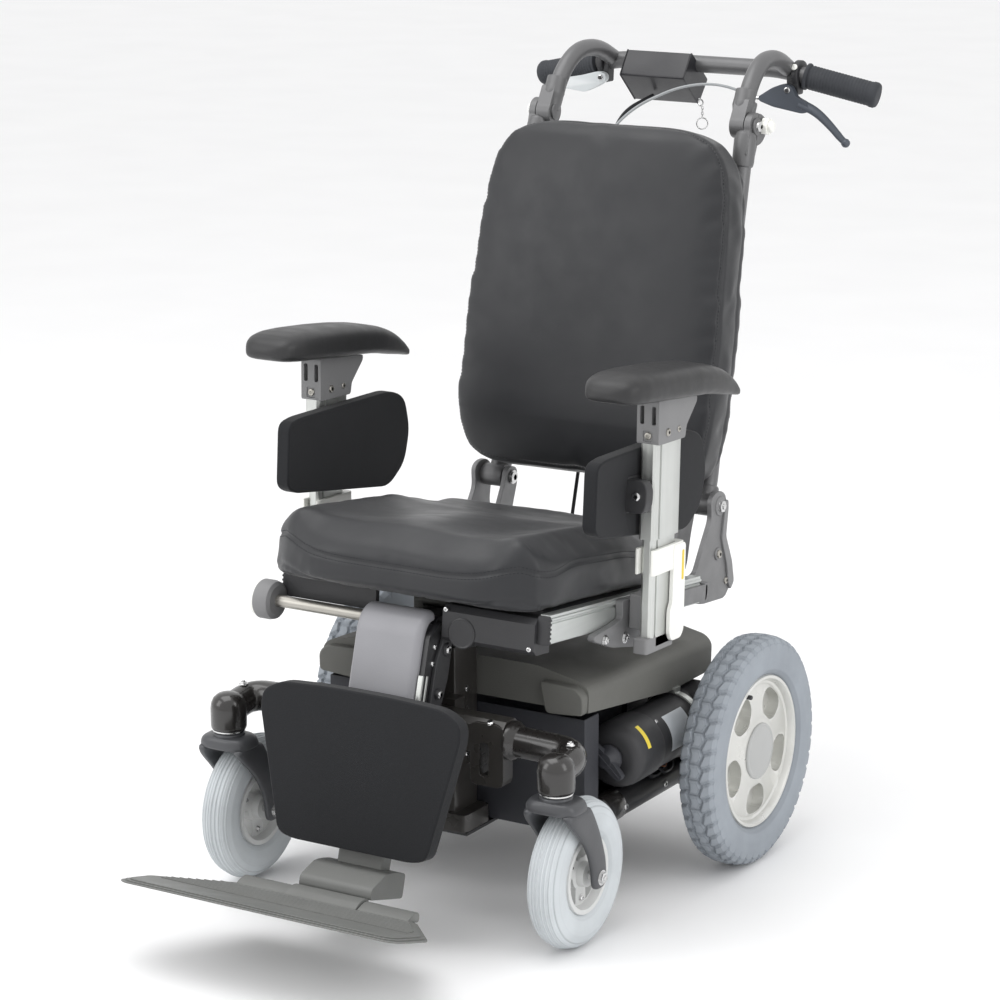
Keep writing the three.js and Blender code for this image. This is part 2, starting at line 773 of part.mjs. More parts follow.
function makeBack() {
  const back = group(root, 0, BACK_Y, BACK_Z, BACK_ANGLE);
  part(back, 'back_frame', backFrame(), 0x807f80, 0.45, 0.2);
  part(back, 'back_cushion', backCushion(), 0x55575b, 0.65, 0);
  BOTH.forEach((side) => {
    part(back, sideName('join_knob', side), joinKnob(side), 0xf0f0ec, 0.4, 0);
    part(root, sideName('grip', side), grip(side), 0x3b3d40, 0.8, 0);
  });
  part(root, 'push_bar', pushBar(), 0x7d7b7d, 0.4, 0.2);
  part(root, 'brake_lever', brakeLever(), 0x33383f, 0.45, 0.2);
  part(root, 'release_lever', releaseLever(), 0xc3c9cb, 0.45, 0.1);
  part(root, 'control_box', controlBox(), 0x2b2c31, 0.6, 0);
  part(group(root, 4, 392, 952), 'pull_ring', pullRing(), 0x9a9c9e, 0.3, 0.9);
  part(root, 'brake_cable', brakeCable(), 0xa0a2a3, 0.5, 0.2);
  part(root, 'control_cable', controlCable(), 0x222326, 0.6, 0);
}

// ---- legrest ----

function legFrame() {
  return carve(
    fuse(
      drum('x', 15, -50, 50, 0, 0, 20),
      box(-49, 49, -39, -8, -230, -14),
      box(-49, 49, -34, 6, -24, 4),
      slab('x', [[-36, -150], [14, -120], [20, -10], [12, 8], [-12, 8], [-36, -12]], 48, 58, 5),
      box(-38, -34, -12, 8, -90, -10),
    ),
    drum('x', 8 + GAP, -60, 60, 0, 0, 14),
    box(-35, 35, -35.4, -11.6, -240, -40),
  );
}

function legCover() {
  return fuse(
    slab('x', [
      [-46, -214], [-46, -8], [-39.5, 9.5], [-27, 20], [-13, 22.5], [-12, 18], [-25.5, 15.5],
      [-35, 6.5], [-41, -9], [-41, -214],
    ], -51, 51),
    slab('x', [[-43, -100], [-64.4, -100], [-53.3, -180], [-43, -180]], -28, 28),
  );
}

function calfPad() {
  const front = mirrored([[96, -103], [114, -96], [154, 76], [126, 101]]);
  return slab('y', front, -12, 12, 24);
}

function legTube() {
  return fuse(
    box(-34.6, 34.6, -35, -12, -322, -80),
    slab('x', [[-85, -350], [-8, -350], [-8, -316], [-54, -316], [-85, -334]], -55, 55),
    box(37, 50, -100, -84, -362, -346),
    box(-50, -37, -100, -84, -362, -346),
    drum('x', 3, -50, 50, FOOT_HINGE_Y, FOOT_HINGE_Z, 12),
  );
}

function footplate() {
  const plan = mirrored([
    [196, -268], [209, -258], [214, -200], [132, -92], [62, -86], [58, -104], [52, -106],
  ]);
  const lips = BOTH.map((side) => slab('x', [[-98, -360], [-98, -352], [-92, -345], [-86, -352], [-86, -360]],
    side * 64, side * 128));
  return carve(
    fuse(
      slab('z', plan, -366, -359, 6),
      ...lips,
      drum('x', 7, -36, 36, FOOT_HINGE_Y, FOOT_HINGE_Z, 16),
      box(-36, 36, -112, -92, -363, -356),
    ),
    drum('x', 3 + GAP, -60, 60, FOOT_HINGE_Y, FOOT_HINGE_Z, 12),
  );
}

function makeLegrest() {
  const leg = group(root, 0, LEG_Y, LEG_Z, LEG_ANGLE);
  part(leg, 'leg_frame', legFrame(), 0x3a3a3c, 0.45, 0.5);
  part(leg, 'leg_cover', legCover(), 0x8c8c90, 0.45, 0);
  part(group(leg, 0, -64.5, -193, -7.9), 'calf_pad', calfPad(), 0x2f3035, 0.8, 0);
  part(leg, 'leg_tube', legTube(), 0x9b9b99, 0.4, 0.6);
  part(leg, 'footplate', footplate(), 0x878886, 0.7, 0.1);
}

makeChassis();
makeWheels();
const seatGroup = makeSeat();
makeArmrests(seatGroup);
makeBack();
makeLegrest();

export default root;
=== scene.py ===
# Power wheelchair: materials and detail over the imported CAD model.
# Shapes, the camera's place and cloth sizes are in millimetres from the drive axle line, as in the
# CAD source, and TO_ROW moves them into the row's frame, in metres. Lights, the floor, the
# textures' distances and whatever is read from the frame are in metres.
import math

import bmesh
import bpy
import numpy as np
from mathutils import Matrix, Vector
from mathutils.bvhtree import BVHTree
from mathutils.kdtree import KDTree
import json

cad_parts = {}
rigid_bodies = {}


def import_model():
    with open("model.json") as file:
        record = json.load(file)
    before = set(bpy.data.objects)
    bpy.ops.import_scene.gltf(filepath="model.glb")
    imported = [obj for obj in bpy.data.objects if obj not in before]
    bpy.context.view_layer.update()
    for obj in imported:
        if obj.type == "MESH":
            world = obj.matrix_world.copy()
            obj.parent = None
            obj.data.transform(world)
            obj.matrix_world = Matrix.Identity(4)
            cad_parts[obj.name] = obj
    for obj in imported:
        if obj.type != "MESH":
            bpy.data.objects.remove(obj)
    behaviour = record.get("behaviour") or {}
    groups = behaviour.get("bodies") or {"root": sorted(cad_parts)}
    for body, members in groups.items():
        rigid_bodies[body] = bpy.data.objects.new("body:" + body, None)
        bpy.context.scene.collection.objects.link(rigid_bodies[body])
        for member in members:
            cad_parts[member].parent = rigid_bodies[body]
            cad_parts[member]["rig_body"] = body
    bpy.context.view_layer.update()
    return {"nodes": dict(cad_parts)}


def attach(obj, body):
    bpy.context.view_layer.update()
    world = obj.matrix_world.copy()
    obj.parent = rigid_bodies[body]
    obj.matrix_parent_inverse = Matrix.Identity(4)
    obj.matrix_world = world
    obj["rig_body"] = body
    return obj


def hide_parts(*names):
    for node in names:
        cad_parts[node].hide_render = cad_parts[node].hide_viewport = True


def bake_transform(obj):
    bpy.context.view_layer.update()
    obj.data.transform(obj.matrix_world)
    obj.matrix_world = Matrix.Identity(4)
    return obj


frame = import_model()
nodes = frame["nodes"]
SIDES = (("left", 1), ("right", -1))
AXLE_Y = 165.0  # the drive axle line's Y in the row's frame
MM = 0.001
ROUND = 2 * math.pi  # a full turn


# ---- placing ----

def place(x=0.0, y=0.0, z=0.0, lean=0.0):
    """A frame at a point of the chair, in millimetres, leaning back by some degrees."""
    return Matrix.Translation((x, y, z)) @ Matrix.Rotation(math.radians(-lean), 4, "X")


CHAIR = place()
SEAT = place(0, -220, 367, 6)
BACK = place(0, 24, 487, 11)
LEG = place(0, -400, 393, 15.6)
TO_ROW = Matrix.Scale(MM, 4) @ Matrix.Translation((0, AXLE_Y, 0))

# Places on the +X side, which the -X side mirrors.
DRIVE_X, DRIVE_Z = 293, 159
CASTER_X, CASTER_Y, CASTER_Z = 252, -399, 99
SWIVEL_Y = -449
BEAM_Y, BEAM_Z = -393, 257
MOTOR_X, MOTOR_Z = 205, 195
SIDE_TUBE_X, SIDE_TUBE_Z = 195, 121
ARM_X = 260
ROD_Y, ROD_Z = -181.7, 7  # in the seat's frame
JOINT_Y, JOINT_Z = 100, 520  # the push bar's joints, in the back's frame
HINGE_Y, HINGE_Z = 98, 467  # the back's hinge
PIVOT_X, PIVOT_Z = 152, 1012  # the levers' pivots
BLADE_FRONT = 366.6  # the Y of the levers' front faces
GRIP_START, GRIP_TIP = Vector((168, 394.6, 1030)), Vector((274, 409.8, 1007))
TUBE_R = 12.3  # back canes and push bar
ARM = {side: place(s * ARM_X, -205, 350, 2) for side, s in SIDES}


def pointing(start, end):
    """A frame at start whose Z axis points to end."""
    start, end = Vector(start), Vector(end)
    turn = (end - start).to_track_quat("Z", "Y").to_matrix().to_4x4()
    return Matrix.Translation(start) @ turn


# ---- materials ----

def rgb(r, g, b):
    """An sRGB colour, 0 to 255, as linear values."""
    out = []
    for value in (r, g, b):
        c = value / 255
        out.append(c / 12.92 if c <= 0.04045 else ((c + 0.055) / 1.055) ** 2.4)
    return (*out, 1.0)


class Nodes:
    """One material's node tree, with short ways to add what the surfaces here use."""

    def __init__(self, name, rough=0.5, metal=0.0, **inputs):
        self.material = bpy.data.materials.new(name)
        self.material.use_nodes = True
        self.tree = self.material.node_tree
        self.shader = self.tree.nodes["Principled BSDF"]
        self.shader.inputs["Roughness"].default_value = rough
        self.shader.inputs["Metallic"].default_value = metal
        for key, value in inputs.items():
            self.shader.inputs[key.replace("_", " ")].default_value = value
        self.height = None

    def add(self, kind, **settings):
        node = self.tree.nodes.new(kind)
        for key, value in settings.items():
            if key in node.inputs:
                node.inputs[key].default_value = value
            else:
                setattr(node, key, value)
        return node

    def link(self, source, target):
        self.tree.links.new(source, target)

    def place(self, stretch=(1, 1, 1)):
        coords = self.add("ShaderNodeTexCoord")
        mapping = self.add("ShaderNodeMapping")
        mapping.inputs["Scale"].default_value = stretch
        self.link(coords.outputs["Object"], mapping.inputs["Vector"])
        return mapping.outputs["Vector"]

    def noise(self, scale, detail=3.0, stretch=(1, 1, 1)):
        node = self.add("ShaderNodeTexNoise", Scale=scale, Detail=detail)
        self.link(self.place(stretch), node.inputs["Vector"])
        return node.outputs["Fac"]

    def cells(self, scale):
        node = self.add("ShaderNodeTexVoronoi", feature="SMOOTH_F1")
        node.inputs["Scale"].default_value = scale
        self.link(self.place(), node.inputs["Vector"])
        return node.outputs["Distance"]

    def remap(self, value, low, high, a, b):
        node = self.add("ShaderNodeMapRange")
        for key, number in (("From Min", low), ("From Max", high), ("To Min", a), ("To Max", b)):
            node.inputs[key].default_value = number
        self.link(value, node.inputs["Value"])
        return node.outputs["Result"]

    def mix(self, share, first, second):
        node = self.add("ShaderNodeMix", data_type="RGBA")
        self.link(share, node.inputs["Factor"])
        for socket, value in ((node.inputs[6], first), (node.inputs[7], second)):
            if isinstance(value, tuple):
                socket.default_value = value
            else:
                self.link(value, socket)
        return node.outputs[2]

    def colour(self, value):
        self.link(value, self.shader.inputs["Base Color"])

    def rough(self, value):
        self.link(value, self.shader.inputs["Roughness"])

    def bump(self, value, distance, strength=1.0):
        node = self.add("ShaderNodeBump", Distance=distance, Strength=strength)
        self.link(value, node.inputs["Height"])
        if self.height is not None:
            self.link(self.height, node.inputs["Normal"])
        self.height = node.outputs["Normal"]
        self.link(self.height, self.shader.inputs["Normal"])


def shade(colour, factor):
    return (*[min(1.0, c * factor) for c in colour[:3]], 1.0)


def worn(n, colour, spread=0.12, wear=0.35):
    """Colour with slow variation, and paler where convex edges have been rubbed."""
    slow = n.remap(n.noise(9, 4), 0.3, 0.7, 0, 1)
    body = n.mix(slow, shade(colour, 1 - spread), shade(colour, 1 + spread))
    point = n.add("ShaderNodeNewGeometry").outputs["Pointiness"]
    edge = n.remap(point, 0.52, 0.62, 0, wear)
    return n.mix(edge, body, shade(colour, 1.9))


def vinyl(name, colour, rough=0.5, grain=1500):
    n = Nodes(name, rough=rough, Sheen_Weight=0.12, Sheen_Roughness=0.5, Specular_IOR_Level=0.42)
    slow = n.remap(n.noise(6, 3), 0.3, 0.7, 0, 1)
    n.colour(n.mix(slow, shade(colour, 0.93), shade(colour, 1.08)))
    pores = n.cells(grain)
    n.rough(n.remap(n.noise(24, 4), 0.3, 0.7, rough - 0.06, rough + 0.08))
    n.bump(pores, 0.00018, 0.55)
    n.bump(n.noise(60, 3), 0.0005, 0.35)
    n.bump(n.noise(9, 2), 0.004, 0.2)
    return n.material


def pad_cloth(name, colour):
    n = Nodes(name, rough=0.8, Sheen_Weight=0.1, Sheen_Roughness=0.5, Specular_IOR_Level=0.3)
    fine = n.noise(900, 2)
    slow = n.remap(n.noise(14, 4), 0.3, 0.7, 0, 1)
    body = n.mix(slow, shade(colour, 0.88), shade(colour, 1.12))
    n.colour(n.mix(n.remap(fine, 0.35, 0.65, 0, 1), body, shade(colour, 1.25)))
    n.bump(fine, 0.0004, 0.6)
    n.bump(n.noise(30, 3), 0.0012, 0.3)
    return n.material


def foam_skin(name, colour):
    n = Nodes(name, rough=0.48, Specular_IOR_Level=0.45)
    slow = n.remap(n.noise(18, 4), 0.3, 0.7, 0, 1)
    n.colour(n.mix(slow, shade(colour, 0.9), shade(colour, 1.1)))
    n.bump(n.cells(620), 0.0003, 0.4)
    n.bump(n.noise(30, 2), 0.0006, 0.2)
    n.rough(n.remap(n.noise(50, 4), 0.3, 0.7, 0.4, 0.5))
    return n.material


def plastic(name, colour, rough=0.5, grain=0.0002, scale=700, wear=0.2):
    n = Nodes(name, rough=rough, Specular_IOR_Level=0.45)
    n.colour(worn(n, colour, 0.06, wear))
    n.rough(n.remap(n.noise(30, 4), 0.3, 0.7, rough - 0.06, rough + 0.08))
    n.bump(n.noise(scale, 2), grain, 0.6)
    return n.material


def paint(name, colour, rough=0.4, metal=0.0, coat=0.0):
    n = Nodes(name, rough=rough, metal=metal, Coat_Weight=coat, Coat_Roughness=0.12)
    n.colour(worn(n, colour, 0.07, 0.3))
    n.rough(n.remap(n.noise(22, 4), 0.3, 0.7, rough - 0.05, rough + 0.09))
    n.bump(n.noise(320, 2), 0.0003, 0.4)
    return n.material


def brushed(name, colour, rough=0.32, stretch=(40, 1, 1)):
    n = Nodes(name, rough=rough, metal=0.92)
    lines = n.noise(120, 4, stretch)
    slow = n.remap(n.noise(12, 3), 0.3, 0.7, 0, 1)
    n.colour(n.mix(slow, shade(colour, 0.92), shade(colour, 1.06)))
    n.rough(n.remap(lines, 0.3, 0.7, rough - 0.08, rough + 0.12))
    n.bump(lines, 0.0001, 0.5)
    return n.material


def cast(name, colour, rough=0.4, metal=0.75):
    n = Nodes(name, rough=rough, metal=metal)
    n.colour(worn(n, colour, 0.06, 0.25))
    n.rough(n.remap(n.noise(40, 5), 0.3, 0.7, rough - 0.08, rough + 0.1))
    n.bump(n.noise(450, 3), 0.0004, 0.4)
    return n.material


def rubber(name, colour, rough=0.8):
    n = Nodes(name, rough=rough, Specular_IOR_Level=0.3)
    dust = n.remap(n.noise(16, 5), 0.35, 0.7, 0, 1)
    body = n.mix(dust, shade(colour, 0.93), shade(colour, 1.06))
    # Concave places, such as tread grooves and creases, are darkened to 0.4 of the colour: painted
    # shade.
    point = n.add("ShaderNodeNewGeometry").outputs["Pointiness"]
    n.colour(n.mix(n.remap(point, 0.4, 0.49, 1, 0), body, shade(colour, 0.4)))
    n.rough(n.remap(n.noise(60, 4), 0.3, 0.7, rough - 0.1, rough + 0.1))
    n.bump(n.noise(500, 3), 0.0003, 0.5)
    return n.material


M = {
    "vinyl": vinyl("vinyl", rgb(35, 36, 39), 0.42),
    "thread": rubber("thread", rgb(44, 45, 48)),
    "pad_cloth": pad_cloth("pad_cloth", rgb(24, 25, 28)),
    "foam_skin": foam_skin("foam_skin", rgb(42, 42, 43)),
    "tube_grey": paint("tube_grey", rgb(106, 106, 107), 0.38, 0.4),
    "casting": cast("casting", rgb(122, 122, 123), 0.48, 0.35),
    "alu": brushed("alu", rgb(208, 210, 207), 0.36, (1, 1, 0.03)),
    "rail": brushed("rail", rgb(205, 208, 206), 0.4, (1, 0.03, 1)),
    "steel": brushed("steel", rgb(176, 173, 166), 0.36, (0.05, 1, 1)),
    "chrome": cast("chrome", rgb(205, 205, 205), 0.18, 1.0),
    "white": plastic("white", rgb(240, 240, 235), 0.34, 0.0001, 500, 0.0),
    "yellow": plastic("yellow", rgb(228, 200, 70), 0.45),
    "label": plastic("label", rgb(196, 202, 208), 0.4),
    "cover": plastic("cover", rgb(104, 104, 100), 0.62, 0.0006, 950, 0.15),
    "black": plastic("black", rgb(48, 48, 50), 0.45, 0.0003, 600),
    "tray": plastic("tray", rgb(52, 53, 58), 0.5, 0.0003, 400),
    "mount": paint("mount", rgb(54, 52, 50), 0.3, 0.15, 0.4),
    "box_black": paint("box_black", rgb(30, 30, 34), 0.34, 0.1, 0.15),
    "gloss_black": paint("gloss_black", rgb(38, 36, 35), 0.24, 0.1, 0.6),
    "frame_black": paint("frame_black", rgb(36, 36, 38), 0.36, 0.1, 0.2),
    "fork": paint("fork", rgb(72, 73, 76), 0.42, 0.2, 0.2),
    "mast": brushed("mast", rgb(70, 70, 68), 0.4, (1, 1, 0.03)),
    "leg_cover": plastic("leg_cover", rgb(140, 140, 144), 0.38, 0.0002, 600, 0.1),
    "foot": plastic("foot", rgb(108, 109, 107), 0.52, 0.0003, 420, 0.3),
    "bracket": plastic("bracket", rgb(124, 124, 125), 0.45, 0.0002, 500, 0.2),
    "grip": rubber("grip", rgb(58, 60, 64), 0.7),
    "lever": paint("lever", rgb(72, 77, 85), 0.42, 0.25, 0.1),
    "release": paint("release", rgb(196, 201, 203), 0.42, 0.1),
    "drive_tyre": rubber("drive_tyre", rgb(152, 158, 165)),
    "caster_tyre": rubber("caster_tyre", rgb(200, 205, 208)),
    "rim": cast("rim", rgb(214, 214, 210), 0.34, 0.75),
    "hub_cap": plastic("hub_cap", rgb(176, 177, 176), 0.4, 0.0002, 500, 0.1),
    "caster_hub": plastic("caster_hub", rgb(206, 207, 206), 0.42, 0.0002, 500, 0.1),
    "cable_silver": rubber("cable_silver", rgb(160, 163, 165), 0.45),
    "cable_black": rubber("cable_black", rgb(32, 33, 36), 0.5),
    "copper": cast("copper", rgb(170, 110, 70), 0.35, 0.9),
}


# ---- drawing ----

class Piece:
    """Gathers shapes in millimetres into one mesh of one material on one body."""

    def __init__(self, name, material, body, base=CHAIR, bevel=0.0, smooth=35.0):
        self.name = name
        self.material = material
        self.body = body
        self.base = base
        self.bevel = bevel
        self.smooth = smooth
        self.mesh = bmesh.new()

    def add(self, verts, faces, where=None):
        matrix = self.base @ (where or Matrix.Identity(4))
        made = [self.mesh.verts.new(matrix @ Vector(v)) for v in verts]
        for face in faces:
            if len(set(face)) > 2:
                self.mesh.faces.new([made[i] for i in face])
        return self

    def box(self, x0, x1, y0, y1, z0, z1):
        verts = [(x, y, z) for x in (x0, x1) for y in (y0, y1) for z in (z0, z1)]
        faces = [(0, 1, 3, 2), (4, 6, 7, 5), (0, 4, 5, 1), (2, 3, 7, 6), (0, 2, 6, 4), (1, 5, 7, 3)]
        return self.add(verts, faces)

    def prism(self, axis, points, low, high, where=None, radius=0.0):
        """Extrudes an outline across an axis; its points are the other two coordinates."""
        ring = rounded(points, radius)
        count = len(ring)
        verts = []
        for level in (low, high):
            for a, b in ring:
                verts.append({"x": (level, a, b), "y": (a, level, b), "z": (a, b, level)}[axis])
        faces = [tuple(range(count))[::-1], tuple(range(count, 2 * count))]
        faces += [(i, (i + 1) % count, count + (i + 1) % count, count + i) for i in range(count)]
        return self.add(verts, faces, where)

    def spun(self, profile, where=None, sides=40, axis="z"):
        """Turns a profile of (radius, along) about an axis; ends on the axis are closed."""
        rows = []
        verts = []
        for radius, along in profile:
            row = []
            for k in range(sides if radius > 1e-6 else 1):
                angle = ROUND * k / sides
                u, v = radius * math.cos(angle), radius * math.sin(angle)
                row.append(len(verts))
                verts.append({"z": (u, v, along), "x": (along, u, v), "y": (v, along, u)}[axis])
            rows.append(row if len(row) > 1 else row * sides)
        faces = []
        for low, high in zip(rows, rows[1:]):
            for k in range(sides):
                j = (k + 1) % sides
                corners = [low[k], low[j], high[j], high[k]]
                faces.append(tuple(dict.fromkeys(corners)))
        for row, order in ((rows[0], -1), (rows[-1], 1)):
            if len(set(row)) > 1 and profile[0] != profile[-1]:
                faces.append(tuple(row[::order]))
        return self.add(verts, faces, where)

    def drum(self, axis, radius, low, high, a=0.0, b=0.0, edge=0.8, sides=40, where=None):
        """A cylinder with rounded edges along an axis; a and b are its other two coordinates."""
        edge = min(edge, radius * 0.4, abs(high - low) * 0.4)
        low, high = min(low, high), max(low, high)
        profile = [(0, low), (radius - edge, low), (radius - edge * 0.3, low + edge * 0.3),
                   (radius, low + edge), (radius, high - edge),
                   (radius - edge * 0.3, high - edge * 0.3), (radius - edge, high), (0, high)]
        shift = {"x": (0, a, b), "y": (a, 0, b), "z": (a, b, 0)}[axis]
        where = (where or Matrix.Identity(4)) @ Matrix.Translation(shift)
        return self.spun(profile, where, sides, axis)

    def tube(self, points, radius, sides=16, bend=None, ends=True, section=None):
        """Sweeps a round (or given) section along points; radius may be a list."""
        path = smooth_path(points, bend) if bend else [Vector(p) for p in points]
        count = len(path)
        radii = radius if isinstance(radius, (list, tuple)) else [radius] * count
        if len(radii) != count:
            steps = np.linspace(0, len(radii) - 1, count)
            radii = np.interp(steps, range(len(radii)), radii)
        section = section or circle(sides)
        side = None
        verts = []
        for i, point in enumerate(path):
            ahead = (path[min(i + 1, count - 1)] - path[max(i - 1, 0)]).normalized()
            if side is None:
                side = ahead.orthogonal().normalized()
            side = (side - ahead * side.dot(ahead)).normalized()
            up = ahead.cross(side)
            for u, v in section:
                verts.append(point + (side * u + up * v) * float(radii[i]))
        n = len(section)
        faces = [(i * n + k, i * n + (k + 1) % n, (i + 1) * n + (k + 1) % n, (i + 1) * n + k)
                 for i in range(count - 1) for k in range(n)]
        if ends:
            faces += [tuple(range(n))[::-1], tuple(range((count - 1) * n, count * n))]
        return self.add(verts, faces)

    def screw(self, point, normal, radius=5.0, height=3.0):
        """A button-head screw with a hexagon socket."""
        where = pointing(point, Vector(point) + Vector(normal))
        r = radius
        self.spun([(r, -0.4), (r, height * 0.35), (r * 0.86, height * 0.8), (r * 0.6, height),
                   (r * 0.46, height)], where, 24)
        self.spun([(r * 0.46, height), (r * 0.46, height * 0.35), (0, height * 0.35)], where, 6)
        return self

    def nut(self, point, normal, radius=6.0, height=5.0):
        """A hexagon nut on its washer, with the bolt's end standing out of it."""
        where = pointing(point, Vector(point) + Vector(normal))
        self.spun([(radius * 1.35, -0.3), (radius * 1.35, 1.1), (radius, 1.1)], where, 28)
        self.spun([(radius, 1.1), (radius, height), (radius * 0.8, height + 0.5),
                   (0, height + 0.5)], where, 6)
        self.drum("z", radius * 0.5, height, height + 2.5, where=where, sides=16)
        return self

    def done(self, *replaced):
        """Makes the object, on its body if it has one, in place of the CAD nodes named."""
        mesh = bpy.data.meshes.new(self.name)
        bmesh.ops.remove_doubles(self.mesh, verts=self.mesh.verts, dist=1e-4)
        bmesh.ops.recalc_face_normals(self.mesh, faces=self.mesh.faces)
        self.mesh.transform(TO_ROW)
        self.mesh.to_mesh(mesh)
        self.mesh.free()
        obj = bpy.data.objects.new(self.name, mesh)
        bpy.context.scene.collection.objects.link(obj)
        mesh.materials.append(M[self.material])
        soften(obj, self.bevel, self.smooth)
        if self.body:
            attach(obj, self.body)
        if replaced:
            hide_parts(*replaced)
        return obj


def circle(count):
    """Evenly spaced points of a circle of radius 1."""
    return [(math.cos(ROUND * k / count), math.sin(ROUND * k / count)) for k in range(count)]


def arc(a, b, radius, start, end, count):
    """Points of a circle about (a, b) between two angles in degrees."""
    return [(a + radius * math.cos(t), b + radius * math.sin(t))
            for t in np.linspace(math.radians(start), math.radians(end), count)]


def squared(value, power):
    """A cosine or sine drawn out towards its ends, which squares a circle off."""
    return math.copysign(abs(value) ** power, value)


def rounded(points, radius, steps=4):
    """The outline with each corner rounded by up to that radius."""
    if radius <= 0:
        return [tuple(p) for p in points]
    out = []
    count = len(points)
    for i, point in enumerate(points):
        corner = Vector(point)
        before, after = Vector(points[i - 1]), Vector(points[(i + 1) % count])
        near, far = (before - corner).length, (after - corner).length
        reach = min(radius, near / 2.02, far / 2.02)
        start = corner.lerp(before, reach / near)
        end = corner.lerp(after, reach / far)
        for k in range(steps + 1):
            t = k / steps
            out.append(tuple(start * (1 - t) ** 2 + corner * 2 * t * (1 - t) + end * t * t))
    return out


def mirror_points(points):
    """An outline from its +X half."""
    return list(points) + [(-a, b) for a, b in reversed(points)]


def smooth_path(points, bend, steps=8):
    """The polyline with each inner corner rounded, as closely spaced points."""
    points = [Vector(p) for p in points]
    path = [points[0]]
    for before, corner, after in zip(points, points[1:], points[2:]):
        near, far = (before - corner).length, (after - corner).length
        reach = min(bend, near / 2.05, far / 2.05)
        start, end = corner.lerp(before, reach / near), corner.lerp(after, reach / far)
        for k in range(steps + 1):
            t = k / steps
            path.append(start * (1 - t) ** 2 + corner * 2 * t * (1 - t) + end * t * t)
    path.append(points[-1])
    return path


def soften(obj, bevel, smooth):
    """Smooth shading with sharp edges kept, and a small bevel on them, in millimetres."""
    mesh = obj.data
    work = bmesh.new()
    work.from_mesh(mesh)
    limit = math.radians(smooth)
    for edge in work.edges:
        edge.smooth = edge.calc_face_angle(0) < limit
    for face in work.faces:
        face.smooth = True
    work.to_mesh(mesh)
    work.free()
    if bevel > 0:
        modifier = obj.modifiers.new("edges", "BEVEL")
        modifier.width = bevel * MM
        modifier.segments = 2
        modifier.limit_method = "ANGLE"
        modifier.angle_limit = math.radians(max(smooth, 30))
        modifier.harden_normals = True


def subdivide(obj):
    fine = obj.modifiers.new("fine", "SUBSURF")
    fine.levels = fine.render_levels = 1


def cut(obj, cutter):
    """Takes the cutter's shape out of the piece, then removes the cutter."""
    modifier = obj.modifiers.new("cut", "BOOLEAN")
    modifier.operation = "DIFFERENCE"
    modifier.solver = "EXACT"
    modifier.object = cutter
    others = [m for m in obj.modifiers if m != modifier]
    for other in others:
        other.show_viewport = False
    graph = bpy.context.evaluated_depsgraph_get()
    graph.update()
    finished = bpy.data.meshes.new_from_object(obj.evaluated_get(graph), depsgraph=graph)
    obj.modifiers.remove(modifier)
    for other in others:
        other.show_viewport = True
    obj.data = finished
    bpy.data.objects.remove(cutter)


def settle(obj, bevel, smooth, body, node):
    """Softens a cut piece and puts it on its body, in place of its CAD node."""
    soften(obj, bevel, smooth)
    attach(obj, body)
    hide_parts(node)


def carry(node, material, bevel):
    """The CAD node's own shape, welded and with softened edges, in a finished material."""
    source = nodes[node]
    mesh = source.data.copy()
    work = bmesh.new()
    work.from_mesh(mesh)
    bmesh.ops.remove_doubles(work, verts=work.verts, dist=2e-6)
    bmesh.ops.dissolve_limit(work, angle_limit=math.radians(1.0), verts=work.verts,
                             edges=work.edges)
    work.to_mesh(mesh)
    work.free()
    if "custom_normal" in mesh.attributes:
        mesh.attributes.remove(mesh.attributes["custom_normal"])
    obj = bpy.data.objects.new("c_" + node, mesh)
    bpy.context.scene.collection.objects.link(obj)
    mesh.materials.clear()
    mesh.materials.append(M[material])
    soften(obj, bevel, 35)
    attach(obj, source["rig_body"])
    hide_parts(node)


# ---- camera, light and floor ----

def towards_camera(azimuth, elevation):
    a, e = math.radians(azimuth), math.radians(elevation)
    return Vector((math.sin(a) * math.cos(e), -math.cos(a) * math.cos(e), math.sin(e)))


def make_camera():
    data = bpy.data.cameras.new("camera")
    data.lens = 118.25
    data.sensor_width = 36
    camera = bpy.data.objects.new("camera", data)
    bpy.context.scene.collection.objects.link(camera)
    camera.location = TO_ROW @ Vector((2216.56, -3832.86, 1566.15))
    camera.rotation_euler = towards_camera(31.17, 13.89).to_track_quat("Z", "Y").to_euler()
    bpy.context.scene.camera = camera


def area_light(name, place_at, aim, size, power):
    data = bpy.data.lights.new(name, "AREA")
    data.shape = "RECTANGLE"
    data.size, data.size_y = size
    data.energy = power
    light = bpy.data.objects.new(name, data)
    light.location = place_at
    light.rotation_euler = (Vector(place_at) - Vector(aim)).to_track_quat("Z", "Y").to_euler()
    bpy.context.scene.collection.objects.link(light)


def make_stage():
    mesh = bpy.data.meshes.new("floor")
    size = 30
    mesh.from_pydata([(-size, -size, 0), (size, -size, 0), (size, size, 0), (-size, size, 0)], [],
                     [(0, 1, 2, 3)])
    n = Nodes("floor", rough=0.7, Specular_IOR_Level=0.1)
    grain = n.remap(n.noise(3, 2), 0.3, 0.7, 0, 1)
    n.colour(n.mix(grain, (0.93, 0.93, 0.935, 1), (0.95, 0.95, 0.955, 1)))
    mesh.materials.append(n.material)
    floor = bpy.data.objects.new("floor", mesh)
    floor.location.z = -0.0005
    bpy.context.scene.collection.objects.link(floor)
    world = bpy.data.worlds.new("world")
    world.use_nodes = True
    background = world.node_tree.nodes["Background"]
    background.inputs["Color"].default_value = (1, 1, 1, 1)
    background.inputs["Strength"].default_value = 0.97
    bpy.context.scene.world = world
    bpy.context.scene.view_settings.view_transform = "Standard"
    middle = (0, 0, 0.5)
    area_light("overhead", (-0.6, -0.6, 3.2), middle, (2.6, 2.2), 40)
    area_light("front_left", (-2.2, -2.6, 1.9), middle, (1.6, 2.2), 24)
    area_light("right", (2.9, -0.4, 1.7), middle, (1.0, 2.2), 16)



# ---- soft pieces ----

